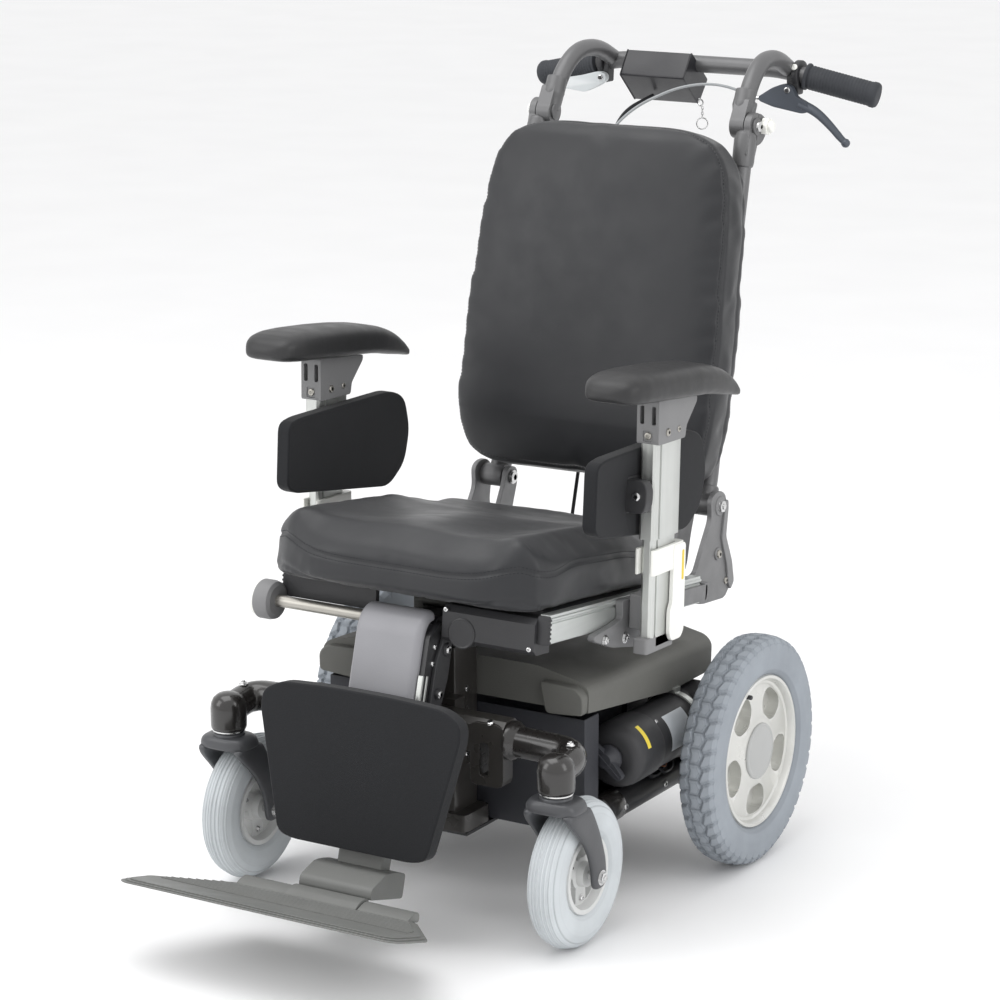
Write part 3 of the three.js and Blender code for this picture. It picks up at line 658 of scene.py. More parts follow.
VOXEL = 6.0
CLOTH_PRESSURE = 3.0
CLOTH_FRAMES = 20
CLOTH_TRAVEL = 7.0  # no point of the cover moves further than this
SEAT_UNDERSIDE = 49.4  # in the seat's frame
BACK_REAR = 73.2  # in the back's frame


def smooth_step(low, high, value):
    t = np.clip((value - low) / (high - low), 0, 1)
    return t * t * (3 - 2 * t)


def bell(value, width):
    return np.exp(-(value / width) ** 2)


def points_of(mesh):
    out = np.empty(len(mesh.vertices) * 3, np.float32)
    mesh.vertices.foreach_get("co", out)
    return out.reshape(-1, 3).astype(float)


def set_points(mesh, points):
    mesh.vertices.foreach_set("co", np.asarray(points, np.float32).ravel())
    mesh.update()


def apply_modifiers(obj):
    graph = bpy.context.evaluated_depsgraph_get()
    graph.update()
    finished = bpy.data.meshes.new_from_object(obj.evaluated_get(graph), depsgraph=graph)
    obj.modifiers.clear()
    old = obj.data
    obj.data = finished
    bpy.data.meshes.remove(old)


def to_frame(points, base):
    """Row metres to a lean frame's millimetres."""
    back = np.array((TO_ROW @ base).inverted())
    return points @ back[:3, :3].T + back[:3, 3]


def from_frame(points, base):
    ahead = np.array(TO_ROW @ base)
    return points @ ahead[:3, :3].T + ahead[:3, 3]


def pillow(node, name, base, shape, rest):
    """The CAD pad remeshed, given its contour, and blown up a little as cloth; rest keeps the
    side it lies on flat."""
    mesh = nodes[node].data.copy()
    obj = bpy.data.objects.new(name, mesh)
    bpy.context.scene.collection.objects.link(obj)
    remesh = obj.modifiers.new("remesh", "REMESH")
    remesh.mode = "VOXEL"
    remesh.voxel_size = VOXEL * MM
    relax = obj.modifiers.new("relax", "SMOOTH")
    relax.factor = 0.5
    relax.iterations = 6
    apply_modifiers(obj)
    start = to_frame(points_of(obj.data), base)
    start = shape(start)
    set_points(obj.data, from_frame(start, base))
    before = points_of(obj.data)
    cloth = obj.modifiers.new("cloth", "CLOTH")
    cloth.settings.use_pressure = True
    cloth.settings.uniform_pressure_force = CLOTH_PRESSURE
    cloth.settings.tension_stiffness = 12
    cloth.settings.compression_stiffness = 12
    cloth.settings.bending_stiffness = 4
    cloth.settings.mass = 0.4
    cloth.settings.quality = 4
    cloth.settings.effector_weights.gravity = 0
    cloth.point_cache.frame_start = 1
    cloth.point_cache.frame_end = CLOTH_FRAMES
    for step in range(1, CLOTH_FRAMES + 1):
        bpy.context.scene.frame_set(step)
    apply_modifiers(obj)
    bpy.context.scene.frame_set(1)
    after = points_of(obj.data)
    move = after - before
    move -= move.mean(axis=0)
    length = np.linalg.norm(move, axis=1, keepdims=True)
    limit = CLOTH_TRAVEL * MM
    after = before + move * (limit / np.maximum(length + limit, 1e-9))
    set_points(obj.data, after)
    calm = obj.modifiers.new("settle", "SMOOTH")
    calm.factor = 0.5
    calm.iterations = 3
    apply_modifiers(obj)
    subdivide(obj)
    apply_modifiers(obj)
    set_points(obj.data, from_frame(rest(to_frame(points_of(obj.data), base)), base))
    for polygon in obj.data.polygons:
        polygon.use_smooth = True
    obj.data.materials.clear()
    obj.data.materials.append(M["vinyl"])
    return obj


def surface_path(obj, base, rays):
    """Where rays (origin, aim) in a lean frame's millimetres meet the piece."""
    mesh = obj.data
    tree = BVHTree.FromPolygons([v.co for v in mesh.vertices], [p.vertices for p in mesh.polygons])
    ahead = TO_ROW @ base
    path = []
    for origin, aim in rays:
        start, end = ahead @ Vector(origin), ahead @ Vector(aim)
        hit, normal, _, _ = tree.ray_cast(start, (end - start).normalized())
        if hit is not None:
            path.append((hit, normal))
    return path


def groove(obj, path, depth=1.6, width=3.0):
    """Presses the piece in along a path of surface points."""
    tree = KDTree(len(path) * 4)
    spots = []
    for i, (point, normal) in enumerate(path):
        after = path[(i + 1) % len(path)][0]
        for k in range(4):
            spots.append((point.lerp(after, k / 4), normal))
    for i, (spot, _) in enumerate(spots):
        tree.insert(spot, i)
    tree.balance()
    for vertex in obj.data.vertices:
        near, i, away = tree.find(vertex.co)
        if away < width * 3 * MM:
            vertex.co -= spots[i][1] * depth * MM * math.exp(-(away / (width * MM)) ** 2)
    obj.data.update()


def stitches(name, body, path, pitch=5.0, length=3.4, radius=0.55, lift=0.15):
    """A row of short threads lying along a closed seam."""
    piece = Piece(name, "thread", body, smooth=60)
    back = TO_ROW.inverted()
    spots = [(back @ p, n) for p, n in path]
    spots.append(spots[0])
    travel = 0.0
    for (a, na), (b, nb) in zip(spots, spots[1:]):
        span = (b - a).length
        if span < 1e-6 or span > 40:
            continue
        along = (b - a) / span
        while travel < span:
            middle = a.lerp(b, travel / span) + na * lift
            ring = []
            side = along.cross(na).normalized()
            for t, r in ((-0.5, 0.35), (-0.3, 1.0), (0.3, 1.0), (0.5, 0.35)):
                for u, v in ((1, 0), (0, 1), (-1, 0), (0, -1)):
                    ring.append(middle + along * length * t + (side * u + na * v) * radius * r)
            faces = [(4 * i + k, 4 * i + (k + 1) % 4, 4 * i + 4 + (k + 1) % 4, 4 * i + 4 + k)
                     for i in range(3) for k in range(4)]
            faces += [(0, 1, 2, 3), (12, 13, 14, 15)]
            piece.add(ring, faces)
            travel += pitch
        travel -= span
    return piece.done()


def outline_rays(points, radius, level, count, centre):
    """Evenly spaced rays from outside a rounded outline towards its centre."""
    ring = [Vector(p) for p in rounded(points, radius, 8)]
    ring.append(ring[0])
    lengths = [0.0]
    for a, b in zip(ring, ring[1:]):
        lengths.append(lengths[-1] + (b - a).length)
    rays = []
    for k in range(count):
        at = lengths[-1] * k / count
        i = max(j for j in range(len(lengths) - 1) if lengths[j] <= at)
        part = (at - lengths[i]) / max(lengths[i + 1] - lengths[i], 1e-9)
        spot = ring[i].lerp(ring[i + 1], part)
        inward = (Vector(centre) - spot).normalized()
        rays.append(level(spot - inward * 30, spot + inward * 30, spot))
    return rays


def seat_top(x, y):
    """Height of the contoured seat cushion's cover over its own frame."""
    side = np.abs(x)
    top = np.interp(y, [-244, -150, 20, 77, 129, 170, 206], [134, 134, 130, 123, 116, 114, 116])
    front = smooth_step(-240, -120, y)
    top = top + 4 * bell(x, 42) * bell(y + 170, 80) * front
    top = top - 8 * bell(side - 92, 52) * smooth_step(60, -90, y) * front
    top = top - 9 * bell(x, 140) * bell(y - 80, 95)
    top = top + 5 * bell(side - 175, 30) * smooth_step(140, 30, y)
    edge = np.clip(1 - np.minimum(219 - side, y + 246) / 52, 0, 1)
    return top + 6 * bell(x, 110) * smooth_step(150, 206, y) - 17 * edge ** 2


def shape_seat(points):
    """The seat cushion's contour: its top follows seat_top, and its sides pull in."""
    x, y, z = points.T
    cad_top = np.interp(y, [-244, 60, 206], [136, 130, 122])
    share = np.clip((z - 49) / (cad_top - 49), 0, 1.05)
    z = 49 + share * (seat_top(x, y) - 2 - 49)
    pull = 4.0 * bell(share - 0.42, 0.3)
    inset = pull + 17 * np.clip((share - 0.35) / 0.65, 0, 1) ** 2.2
    x = x - np.sign(x) * inset * smooth_step(120, 212, np.abs(x))
    y = y + (inset + 5 * share) * smooth_step(-170, -240, y) - pull * smooth_step(150, 196, y)
    return np.stack([x, y, z], axis=1)


def make_seat_cushion():
    def on_pan(points):
        points[:, 2] = np.maximum(points[:, 2], SEAT_UNDERSIDE)
        return points

    obj = pillow("seat_cushion", "seat_cushion_cover", SEAT, shape_seat, on_pan)
    plan = [(120, -240), (214, -204), (217, 110), (206, 204),
            (-206, 204), (-217, 110), (-214, -204), (-120, -240)]

    def at_depth(depth, share=20):
        def level(start, end, spot):
            z = float(seat_top(spot.x, spot.y) - depth - share * smooth_step(-110, -235, spot.y))
            return (start.x, start.y, z), (end.x, end.y, z)
        return level

    upper = surface_path(obj, SEAT, outline_rays(plan, 60, at_depth(14), 260, (0, -20)))
    lower = surface_path(obj, SEAT, outline_rays(plan, 60, at_depth(68, 4), 240, (0, -20)))
    groove(obj, upper, 2.2, 3.0)
    groove(obj, lower, 1.8, 3.0)
    near = surface_path(obj, SEAT, outline_rays(plan, 60, at_depth(10.5), 260, (0, -20)))
    far = surface_path(obj, SEAT, outline_rays(plan, 60, at_depth(18), 260, (0, -20)))
    stitches("seat_stitch_upper", "seat", near)
    stitches("seat_stitch_lower", "seat", far)
    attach(obj, "seat")
    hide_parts("seat_cushion")


BACK_FRONT = [(150, 12), (190, 30), (205, 90), (207, 230), (199, 380), (188, 452), (158, 496),
              (100, 510), (-100, 510), (-158, 496), (-188, 452), (-199, 380), (-207, 230),
              (-205, 90), (-190, 30), (-150, 12)]


def back_face(z):
    """Y of the back cushion's front at a height in its own frame."""
    return np.interp(z, [12, 40, 90, 300, 500, 513], [14, 5, -3, -2, 6, 20])


def shape_back(points):
    """The back cushion's contour: a crowned front with a hollow for the lower back."""
    x, y, z = points.T
    face = back_face(z)
    depth = np.clip((73 - y) / (73 - face), 0, 1.1)
    crown = (9 * np.clip(1 - (np.abs(x) / 205) ** 2.4, 0, 1)
             * np.clip(1 - (np.abs(z - 262) / 256) ** 3, 0, 1))
    hollow = 5 * bell(x, 105) * bell(z - 190, 130)
    y = y + 3.5 * depth - (crown - hollow) * smooth_step(0.35, 1.0, depth)
    x = x * (1 - 0.012 * bell(depth - 0.5, 0.35))
    return np.stack([x, y, z], axis=1)


def make_back_cushion():
    def on_board(points):
        points[:, 1] = np.minimum(points[:, 1], BACK_REAR)
        return points

    obj = pillow("back_cushion", "back_cushion_cover", BACK, shape_back, on_board)

    def at_depth(depth):
        def level(start, end, spot):
            y = float(back_face(spot.y)) + depth
            return (start.x, y, start.y), (end.x, y, end.y)
        return level

    seam = surface_path(obj, BACK, outline_rays(BACK_FRONT, 40, at_depth(9), 300, (0, 260)))
    rear = surface_path(obj, BACK, outline_rays(BACK_FRONT, 40, at_depth(56), 260, (0, 260)))
    groove(obj, seam, 2.4, 3.0)
    groove(obj, rear, 1.6, 3.0)
    near = surface_path(obj, BACK, outline_rays(BACK_FRONT, 40, at_depth(6.5), 300, (0, 260)))
    stitches("back_stitch", "back", near)
    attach(obj, "back")
    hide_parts("back_cushion")


def loft(piece, stations, section):
    """Closed sections of the same point count, one after another, with capped ends."""
    count = len(section(*stations[0]))
    verts = [v for station in stations for v in section(*station)]
    faces = [(i * count + k, i * count + (k + 1) % count, (i + 1) * count + (k + 1) % count,
              (i + 1) * count + k) for i in range(len(stations) - 1) for k in range(count)]
    faces += [tuple(range(count))[::-1],
              tuple(range((len(stations) - 1) * count, len(stations) * count))]
    return piece.add(verts, faces)


def make_arm_pad(side, s):
    def section(y, top, low, half):
        middle, tall = (top + low) / 2, (top - low) / 2
        ring = []
        for c, d in circle(40):
            ring.append((half * squared(c, 0.55 if d > 0 else 0.42), y,
                         middle + tall * squared(d, 0.8 if d > 0 else 0.5)))
        return ring

    keys = [-163, -161.5, -158, -151, -140, -122, -90, -30, 20, 60, 86, 108, 128, 146, 160, 167,
            170]
    tops = [333, 338, 343.5, 348.5, 353, 356.5, 358.5, 359.5, 359, 357, 353.5, 348.5, 341, 331, 321,
            315, 311]
    lows = [328, 324, 321, 319, 318, 317.5, 317.5, 317.5, 317.5, 317, 315, 312.5, 311, 309.5, 308,
            307.5, 308.5]
    half = [12, 20, 28, 35, 40, 43, 44, 44, 43.5, 41.5, 39, 36, 33, 30, 27, 22, 14]
    stations = []
    for y in np.concatenate([np.linspace(-163, -140, 8)[:-1], np.linspace(-140, 140, 32)[:-1],
                             np.linspace(140, 170, 10)]):
        stations.append((float(y), float(np.interp(y, keys, tops)), float(np.interp(y, keys, lows)),
                         float(np.interp(y, keys, half))))
    piece = Piece(f"arm_pad_skin_{side}", "foam_skin", f"arm_{side}",
                  SEAT @ place(s * ARM_X, 0, 0), smooth=60)
    loft(piece, stations, section)
    obj = piece.done(f"arm_pad_{side}")
    subdivide(obj)


def make_flat_pad(name, body, base, axis, points, low, high, radius, node, edge):
    """A firm board-backed pad: a thick cover with a rounded rim."""
    piece = Piece(name, "pad_cloth", body, base, bevel=edge, smooth=40)
    piece.prism(axis, points, low, high, radius=radius)
    obj = piece.done(node)
    obj.modifiers["edges"].segments = 4


def make_side_pad(side, s):
    base = SEAT @ place(s * ARM_X, 0, 0)
    outline = [(-142, 236), (-139, 150), (-118, 141), (112, 128), (150, 158), (159, 206),
               (142, 252), (108, 263), (60, 259), (-118, 243)]
    make_flat_pad(f"side_pad_cover_{side}", f"arm_{side}", base, "x", outline,
                  -35.0 * s, -15.2 * s, 17, f"side_pad_{side}", 5.5)
    clamp = Piece(f"side_pad_clamp_{side}", "black", f"arm_{side}", base, bevel=1.6)
    clamp.prism("x", [(-62, 168), (-30, 168), (-28, 190), (-30, 216), (-62, 216)],
                -21 * s, -13.6 * s, radius=5)
    clamp.prism("y", [(-21 * s, 170), (10 * s, 170), (14 * s, 182), (14 * s, 202), (8 * s, 213),
                      (-21 * s, 213)], -62, -43, radius=6)
    clamp.done()
    screws = Piece(f"side_pad_screws_{side}", "chrome", f"arm_{side}", base, smooth=30)
    screws.screw((0, -62, 192), (0, -1, 0), 6.5, 4)
    for y in (-52, -38):
        screws.screw((-13.8 * s, y, 192), (s, 0, 0), 3.5, 2)
    screws.done()


def make_calf_pad():
    base = LEG @ place(0, -64.5, -193, -7.9)
    outline = mirror_points([(92, -103), (114, -97), (152, 62), (150, 84), (124, 99), (50, 103)])
    make_flat_pad("calf_pad_cover", "legrest", base, "y", outline, -12, 12, 30, "calf_pad", 5)


# ---- wheels ----

def grid_mesh(name, rings, material, body, *replaced):
    """Closed tube of rings, an array of rings by points by 3, in row metres."""
    count, across, _ = rings.shape
    index = np.arange(count * across).reshape(count, across)
    a, b = index, np.roll(index, -1, axis=1)
    c, d = np.roll(b, -1, axis=0), np.roll(a, -1, axis=0)
    quads = np.stack([a, b, c, d], axis=2).reshape(-1, 4)
    mesh = bpy.data.meshes.new(name)
    mesh.from_pydata(rings.reshape(-1, 3).tolist(), [], quads.tolist())
    for polygon in mesh.polygons:
        polygon.use_smooth = True
    obj = bpy.data.objects.new(name, mesh)
    bpy.context.scene.collection.objects.link(obj)
    mesh.materials.append(M[material])
    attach(obj, body)
    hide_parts(*replaced)
    return obj


def profile_points(corners, counts):
    """A profile (across, radius) with a set number of points along each leg."""
    out = []
    for (start, end, count) in zip(corners, corners[1:] + corners[:1], counts):
        for k in range(count):
            t = k / count
            out.append((start[0] + (end[0] - start[0]) * t, start[1] + (end[1] - start[1]) * t))
    return np.array(out)


def turn(profile, angles, depth, centre):
    """Spins a profile about the X axis at centre, pressed in by depth in millimetres."""
    across = profile[None, :, 0] + np.zeros((len(angles), 1))
    radius = profile[None, :, 1] - depth
    y = radius * np.cos(angles)[:, None]
    z = radius * np.sin(angles)[:, None]
    points = np.stack([across, y, z], axis=2) + np.array(centre)
    return (points + np.array((0, AXLE_Y, 0))) * MM


def wave(value):
    """A zig-zag between -1 and 1 with a period of 1."""
    return 2 * np.abs(2 * (value - np.floor(value + 0.5))) - 1


def make_drive_tyre(side, s):
    half = 27
    shape = [(-19, 106), (-25, 112), (-half, 124), (-half, 138), (-25.5, 149), (-21, 155.4),
             (-12, 158.2), (0, 159), (12, 158.2), (21, 155.4), (25.5, 149), (half, 138),
             (half, 124), (25, 112), (19, 106)]
    profile = profile_points(shape, [2, 4, 4, 8, 9, 12, 14, 14, 12, 9, 8, 4, 4, 2, 2])
    blocks, steps = 46, 12
    angles = np.linspace(0, ROUND, blocks * steps, endpoint=False)
    u = (angles * blocks / ROUND)[:, None]
    x, r = profile[None, :, 0], profile[None, :, 1]
    zig = 2.4 * wave(u)
    tread = smooth_step(139, 149, r)
    depth = np.zeros((len(angles), len(profile)))
    for line in (-8.5, 8.5):
        depth = np.maximum(depth, 1 - smooth_step(0.9, 2.2, np.abs(x - line - zig)))
    pitch = 21.7
    across = np.abs((u + 0.02 * x) % 1.0 - 0.5) * pitch
    middle = np.abs((u + 0.5) % 1.0 - 0.5) * pitch
    outer = smooth_step(8.0, 10.5, np.abs(x - zig))
    depth = np.maximum(depth, (1 - smooth_step(1.2, 2.8, across)) * outer)
    depth = np.maximum(depth, (1 - smooth_step(0.8, 2.2, middle)) * (1 - outer))
    rings = 0.45 * (bell(r - 130, 1.0) + bell(r - 117, 1.0)) * (np.abs(x) > 20)
    depth = depth * tread * 4.4 - rings
    grid = turn(profile, angles, depth, (s * DRIVE_X, 0, DRIVE_Z))
    grid_mesh(f"drive_tread_{side}", grid, "drive_tyre", f"drive_wheel_{side}",
              f"drive_tyre_{side}")


def make_caster_tyre(side, s):
    shape = [(-15, 52), (-20, 58), (-22.6, 68), (-22.6, 80), (-19, 90), (-13, 95.5), (0, 99),
             (13, 95.5), (19, 90), (22.6, 80), (22.6, 68), (20, 58), (15, 52)]
    profile = profile_points(shape, [3, 3, 4, 6, 14, 22, 22, 14, 6, 4, 3, 3, 2])
    angles = np.linspace(0, ROUND, 144, endpoint=False)
    x, r = profile[None, :, 0], profile[None, :, 1]
    ribs = 0.5 - 0.5 * np.cos(2 * math.pi * x / 5.2)
    depth = 1.5 * smooth_step(0.55, 0.95, ribs) * smooth_step(85, 91, r)
    depth = depth + np.zeros((len(angles), 1))
    grid = turn(profile, angles, depth, (s * CASTER_X, CASTER_Y, CASTER_Z))
    grid_mesh(f"caster_tread_{side}", grid, "caster_tyre", f"caster_wheel_{side}",
              f"caster_tyre_{side}")


def make_drive_rim(side, s):
    where = (Matrix.Translation((s * DRIVE_X, 0, DRIVE_Z))
             @ Matrix.Rotation(0 if s > 0 else math.pi, 4, "Z"))
    body = f"drive_wheel_{side}"
    rim = Piece(f"drive_rim_cast_{side}", "rim", None, bevel=0)
    rim.spun([(97, -20), (105.4, -20), (105.8, -12), (103.5, -6), (103.5, 8), (105.8, 13),
              (106.2, 19), (104.5, 21.5), (100.5, 21.5), (98, 18), (96.5, 13), (93, 11.5),
              (88, 13), (52, 13.5), (46, 16), (41, 17.5), (0, 17.5), (0, -14), (40, -14),
              (44, -10), (90, -9), (95.5, -11)], where, 96, "x")
    obj = rim.done()
    holes = Piece("holes", "rim", None)
    for i in range(5):
        spin = where @ Matrix.Rotation(math.radians(i * 72 + 36), 4, "X")
        ring = [(26 * squared(c, 0.8) * (1 + 0.12 * d), 69 + 20 * squared(d, 0.85))
                for c, d in circle(48)]
        holes.prism("x", ring, -3, 40, spin, radius=2)
    cut(obj, holes.done())
    settle(obj, 1.3, 30, body, f"drive_rim_{side}")
    obj.modifiers["edges"].segments = 3
    shaft = Piece(f"drive_shaft_{side}", "steel", body, bevel=0.6)
    shaft.drum("x", 11.5, -66, -10, where=where, edge=1, sides=32)
    shaft.drum("x", 19, -30, -12, where=where, edge=1.5, sides=32)
    shaft.done()
    cap = Piece(f"hub_cap_{side}", "hub_cap", body, smooth=32)
    cap.spun([(0, 16), (38.5, 16), (39, 17), (39, 19), (38, 20.4), (36, 21), (34.6, 20.4),
              (33.4, 20.4), (31, 21.2), (0, 21.6)], where, 64, "x")
    cap.done()
    valve = Piece(f"valve_{side}", "black", body, bevel=0.5)
    turned = where @ Matrix.Rotation(math.radians(24), 4, "X")
    valve.spun([(0, 8), (4.2, 8), (4.6, 9), (4.2, 12), (3.2, 14), (3.2, 24), (2.6, 25.2),
                (0, 25.2)], turned @ Matrix.Translation((0, 0, 95)), 20, "x")
    valve.done()


def make_caster_hub(side, s):
    body = f"caster_wheel_{side}"
    where = Matrix.Translation((s * CASTER_X, CASTER_Y, CASTER_Z))
    hub = Piece(f"caster_hub_cast_{side}", "caster_hub", None)
    hub.spun([(45.5, -19), (51.6, -19), (52.6, -15), (50, -8), (50, 8), (52.6, 15), (51.6, 19),
              (45.5, 19), (43.5, 14), (42, 7.5), (22, 7.5), (17, 10), (15.5, 19.5), (0, 20),
              (0, -20), (15.5, -19.5), (17, -10), (22, -7.5), (42, -7.5), (43.5, -14)],
             where, 72, "x")
    obj = hub.done()
    windows = Piece("windows", "caster_hub", None)
    for i in range(3):
        spin = where @ Matrix.Rotation(math.radians(i * 120), 4, "X")
        ring = []
        for k in range(13):
            a = math.radians(-42 + 84 * k / 12)
            ring.append((41 * math.sin(a), 41 * math.cos(a)))
        for k in range(9):
            a = math.radians(24 - 48 * k / 8)
            ring.append((21 * math.sin(a), 21 * math.cos(a)))
        windows.prism("x", ring, -40, 40, spin, radius=3)
    cut(obj, windows.done())
    settle(obj, 0.9, 30, body, f"caster_hub_{side}")
    bolts = Piece(f"caster_hub_bolts_{side}", "chrome", body, smooth=30)
    for i in range(3):
        a = math.radians(i * 120 + 60)
        for face in (-1, 1):
            bolts.nut((s * CASTER_X + face * 7.4, CASTER_Y - 33 * math.sin(a),
                       CASTER_Z + 33 * math.cos(a)), (face, 0, 0), 3.6, 3.4)
    bolts.done()


def make_caster_fork(side, s):
    """Crown and two legs that lean back to the axle, swept from rounded sections."""
    body = f"caster_swivel_{side}"
    base = place(s * CASTER_X, SWIVEL_Y, 0)
    fork = Piece(f"caster_fork_cast_{side}", "fork", body, base, bevel=0, smooth=50)

    def leg_section(z, y0, y1, x0, x1):
        return [((x0 + x1) / 2 + (x1 - x0) / 2 * squared(c, 0.6),
                 (y0 + y1) / 2 + (y1 - y0) / 2 * squared(d, 0.6), z) for c, d in circle(28)]

    for f in (-1, 1):
        stations = [(84, 42, 58, 30, 37), (87, 37, 63, 29, 38), (94, 34, 66, 28.8, 38.5),
                    (104, 33, 66, 28.8, 38.5), (118, 30.5, 65, 28.8, 38.2), (132, 25, 61, 28.8, 38),
                    (146, 17, 56, 28.6, 38), (160, 6, 50, 28.6, 38), (172, -6, 44, 28, 38),
                    (184, -18, 38, 26, 38), (194, -25, 33, 22, 37.5), (202, -27, 30, 14, 36)]
        loft(fork, [(z, a, b, f * c, f * d) for z, a, b, c, d in stations], leg_section)
    crown = [(196, -26, 30, -36, 36), (199, -27, 30, -38, 38), (205, -27, 28, -37.5, 37.5),
             (210, -26, 27, -35, 35), (213, -24, 25, -31, 31), (214.5, -20, 21, -25, 25)]
    loft(fork, crown, leg_section)
    fork.spun([(0, 208), (22, 208), (22, 216), (20.5, 218.5), (0, 218.5)], sides=40)
    subdivide(fork.done(f"caster_fork_{side}"))
    ring = Piece(f"caster_seal_{side}", "chrome", body, base, smooth=30)
    ring.spun([(0, 218), (17, 218), (17, 222), (0, 222)], sides=40)
    ring.drum("z", 8, 214, 247, sides=24)
    ring.drum("x", 6, -38, 38, 50, 99, sides=24)
    ring.nut((38.2, 50, 99), (1, 0, 0), 7.5, 4.6)
    ring.screw((-38.2, 50, 99), (-1, 0, 0), 9, 4.8)
    ring.done()


# ---- back, push bar and controls ----

HINGE = BACK.inverted() @ Vector((0, HINGE_Y, HINGE_Z))
PUSH = BACK @ Vector((0, JOINT_Y, JOINT_Z))


def make_back_frame():
    canes = Piece("back_canes", "tube_grey", "back", BACK, smooth=50)
    for _, s in SIDES:
        canes.tube([(s * 168, HINGE.y, HINGE.z), (s * 167, 90, 20), (s * 166, 90, 300),
                    (s * 166, 94, 494)], TUBE_R, 28, 25)
    canes.tube([(-167, 87, 110), (167, 87, 110)], 9, 24)
    canes.tube([(-167, 90, 420), (167, 90, 420)], 9, 24)
    canes.done("back_frame")
    board = Piece("back_board", "black", "back", BACK, bevel=1.5)
    board.prism("y", [(-150, 60), (150, 60), (150, 470), (-150, 470)], 74, 80, radius=24)
    board.done()
    joints = Piece("back_joints", "tube_grey", "back", BACK, bevel=1.6, smooth=30)
    for _, s in SIDES:
        lobe = arc(101, JOINT_Z, 19, -50, 200, 22)
        joints.prism("x", lobe + [(80, 478), (107, 478)], s * 166.6, s * 177, radius=3)
        joints.prism("x", [(104, 540), (126, 534), (134, 516), (124, 500), (106, 492)],
                     s * 170, s * 178, radius=8)
        joints.drum("x", 12, s * 176, s * 181, JOINT_Y, JOINT_Z, 1.5)
        joints.spun([(12, 462), (14.4, 464), (15.4, 470), (15.6, 500), (13, 510), (9, 514),
                     (0, 515)], Matrix.Translation((s * 166, 93.6, 0)), 40)
        joints.drum("x", 16, s * 151, s * 186, HINGE.y, HINGE.z, 2)
        joints.spun([(12, 0), (15, 2), (15, 14), (12.6, 17)], Matrix.Translation((s * 167.4, 86, 4))
                    @ Matrix.Rotation(math.radians(-14), 4, "X"), 32)
    joints.done()
    bolts = Piece("back_bolts", "chrome", "back", BACK, smooth=30)
    for _, s in SIDES:
        bolts.drum("x", 8, s * 139, s * 197, HINGE.y, HINGE.z, 0.8)
        bolts.nut((s * 195.2, HINGE.y, HINGE.z), (s, 0, 0), 8.5, 5)
        bolts.screw((s * 139.5, HINGE.y, HINGE.z), (-s, 0, 0), 10, 4)
        bolts.drum("x", 7, s * 142, s * 184, JOINT_Y, JOINT_Z, 0.8)
        bolts.screw((s * 182.6, JOINT_Y, JOINT_Z), (s, 0, 0), 7, 3.5)
        for z in (100, 260, 430):
            bolts.screw((s * 136, 80, z), (0, 1, 0), 5.5, 3)
    bolts.done()
    for side, s in SIDES:
        knob = Piece(f"join_knob_{side}_star", "white", f"join_knob_{side}", BACK, bevel=1.2)
        ring = []
        for k in range(60):
            a = ROUND * k / 60
            r = 11.2 + 1.2 * math.cos(6 * a)
            ring.append((116 + r * math.cos(a), 522 + r * math.sin(a)))
        knob.prism("x", ring, s * 180.6, s * 190)
        knob.drum("x", 8.4, s * 189, s * 196, 116, 522, 2.4)
        knob.done(f"join_knob_{side}")


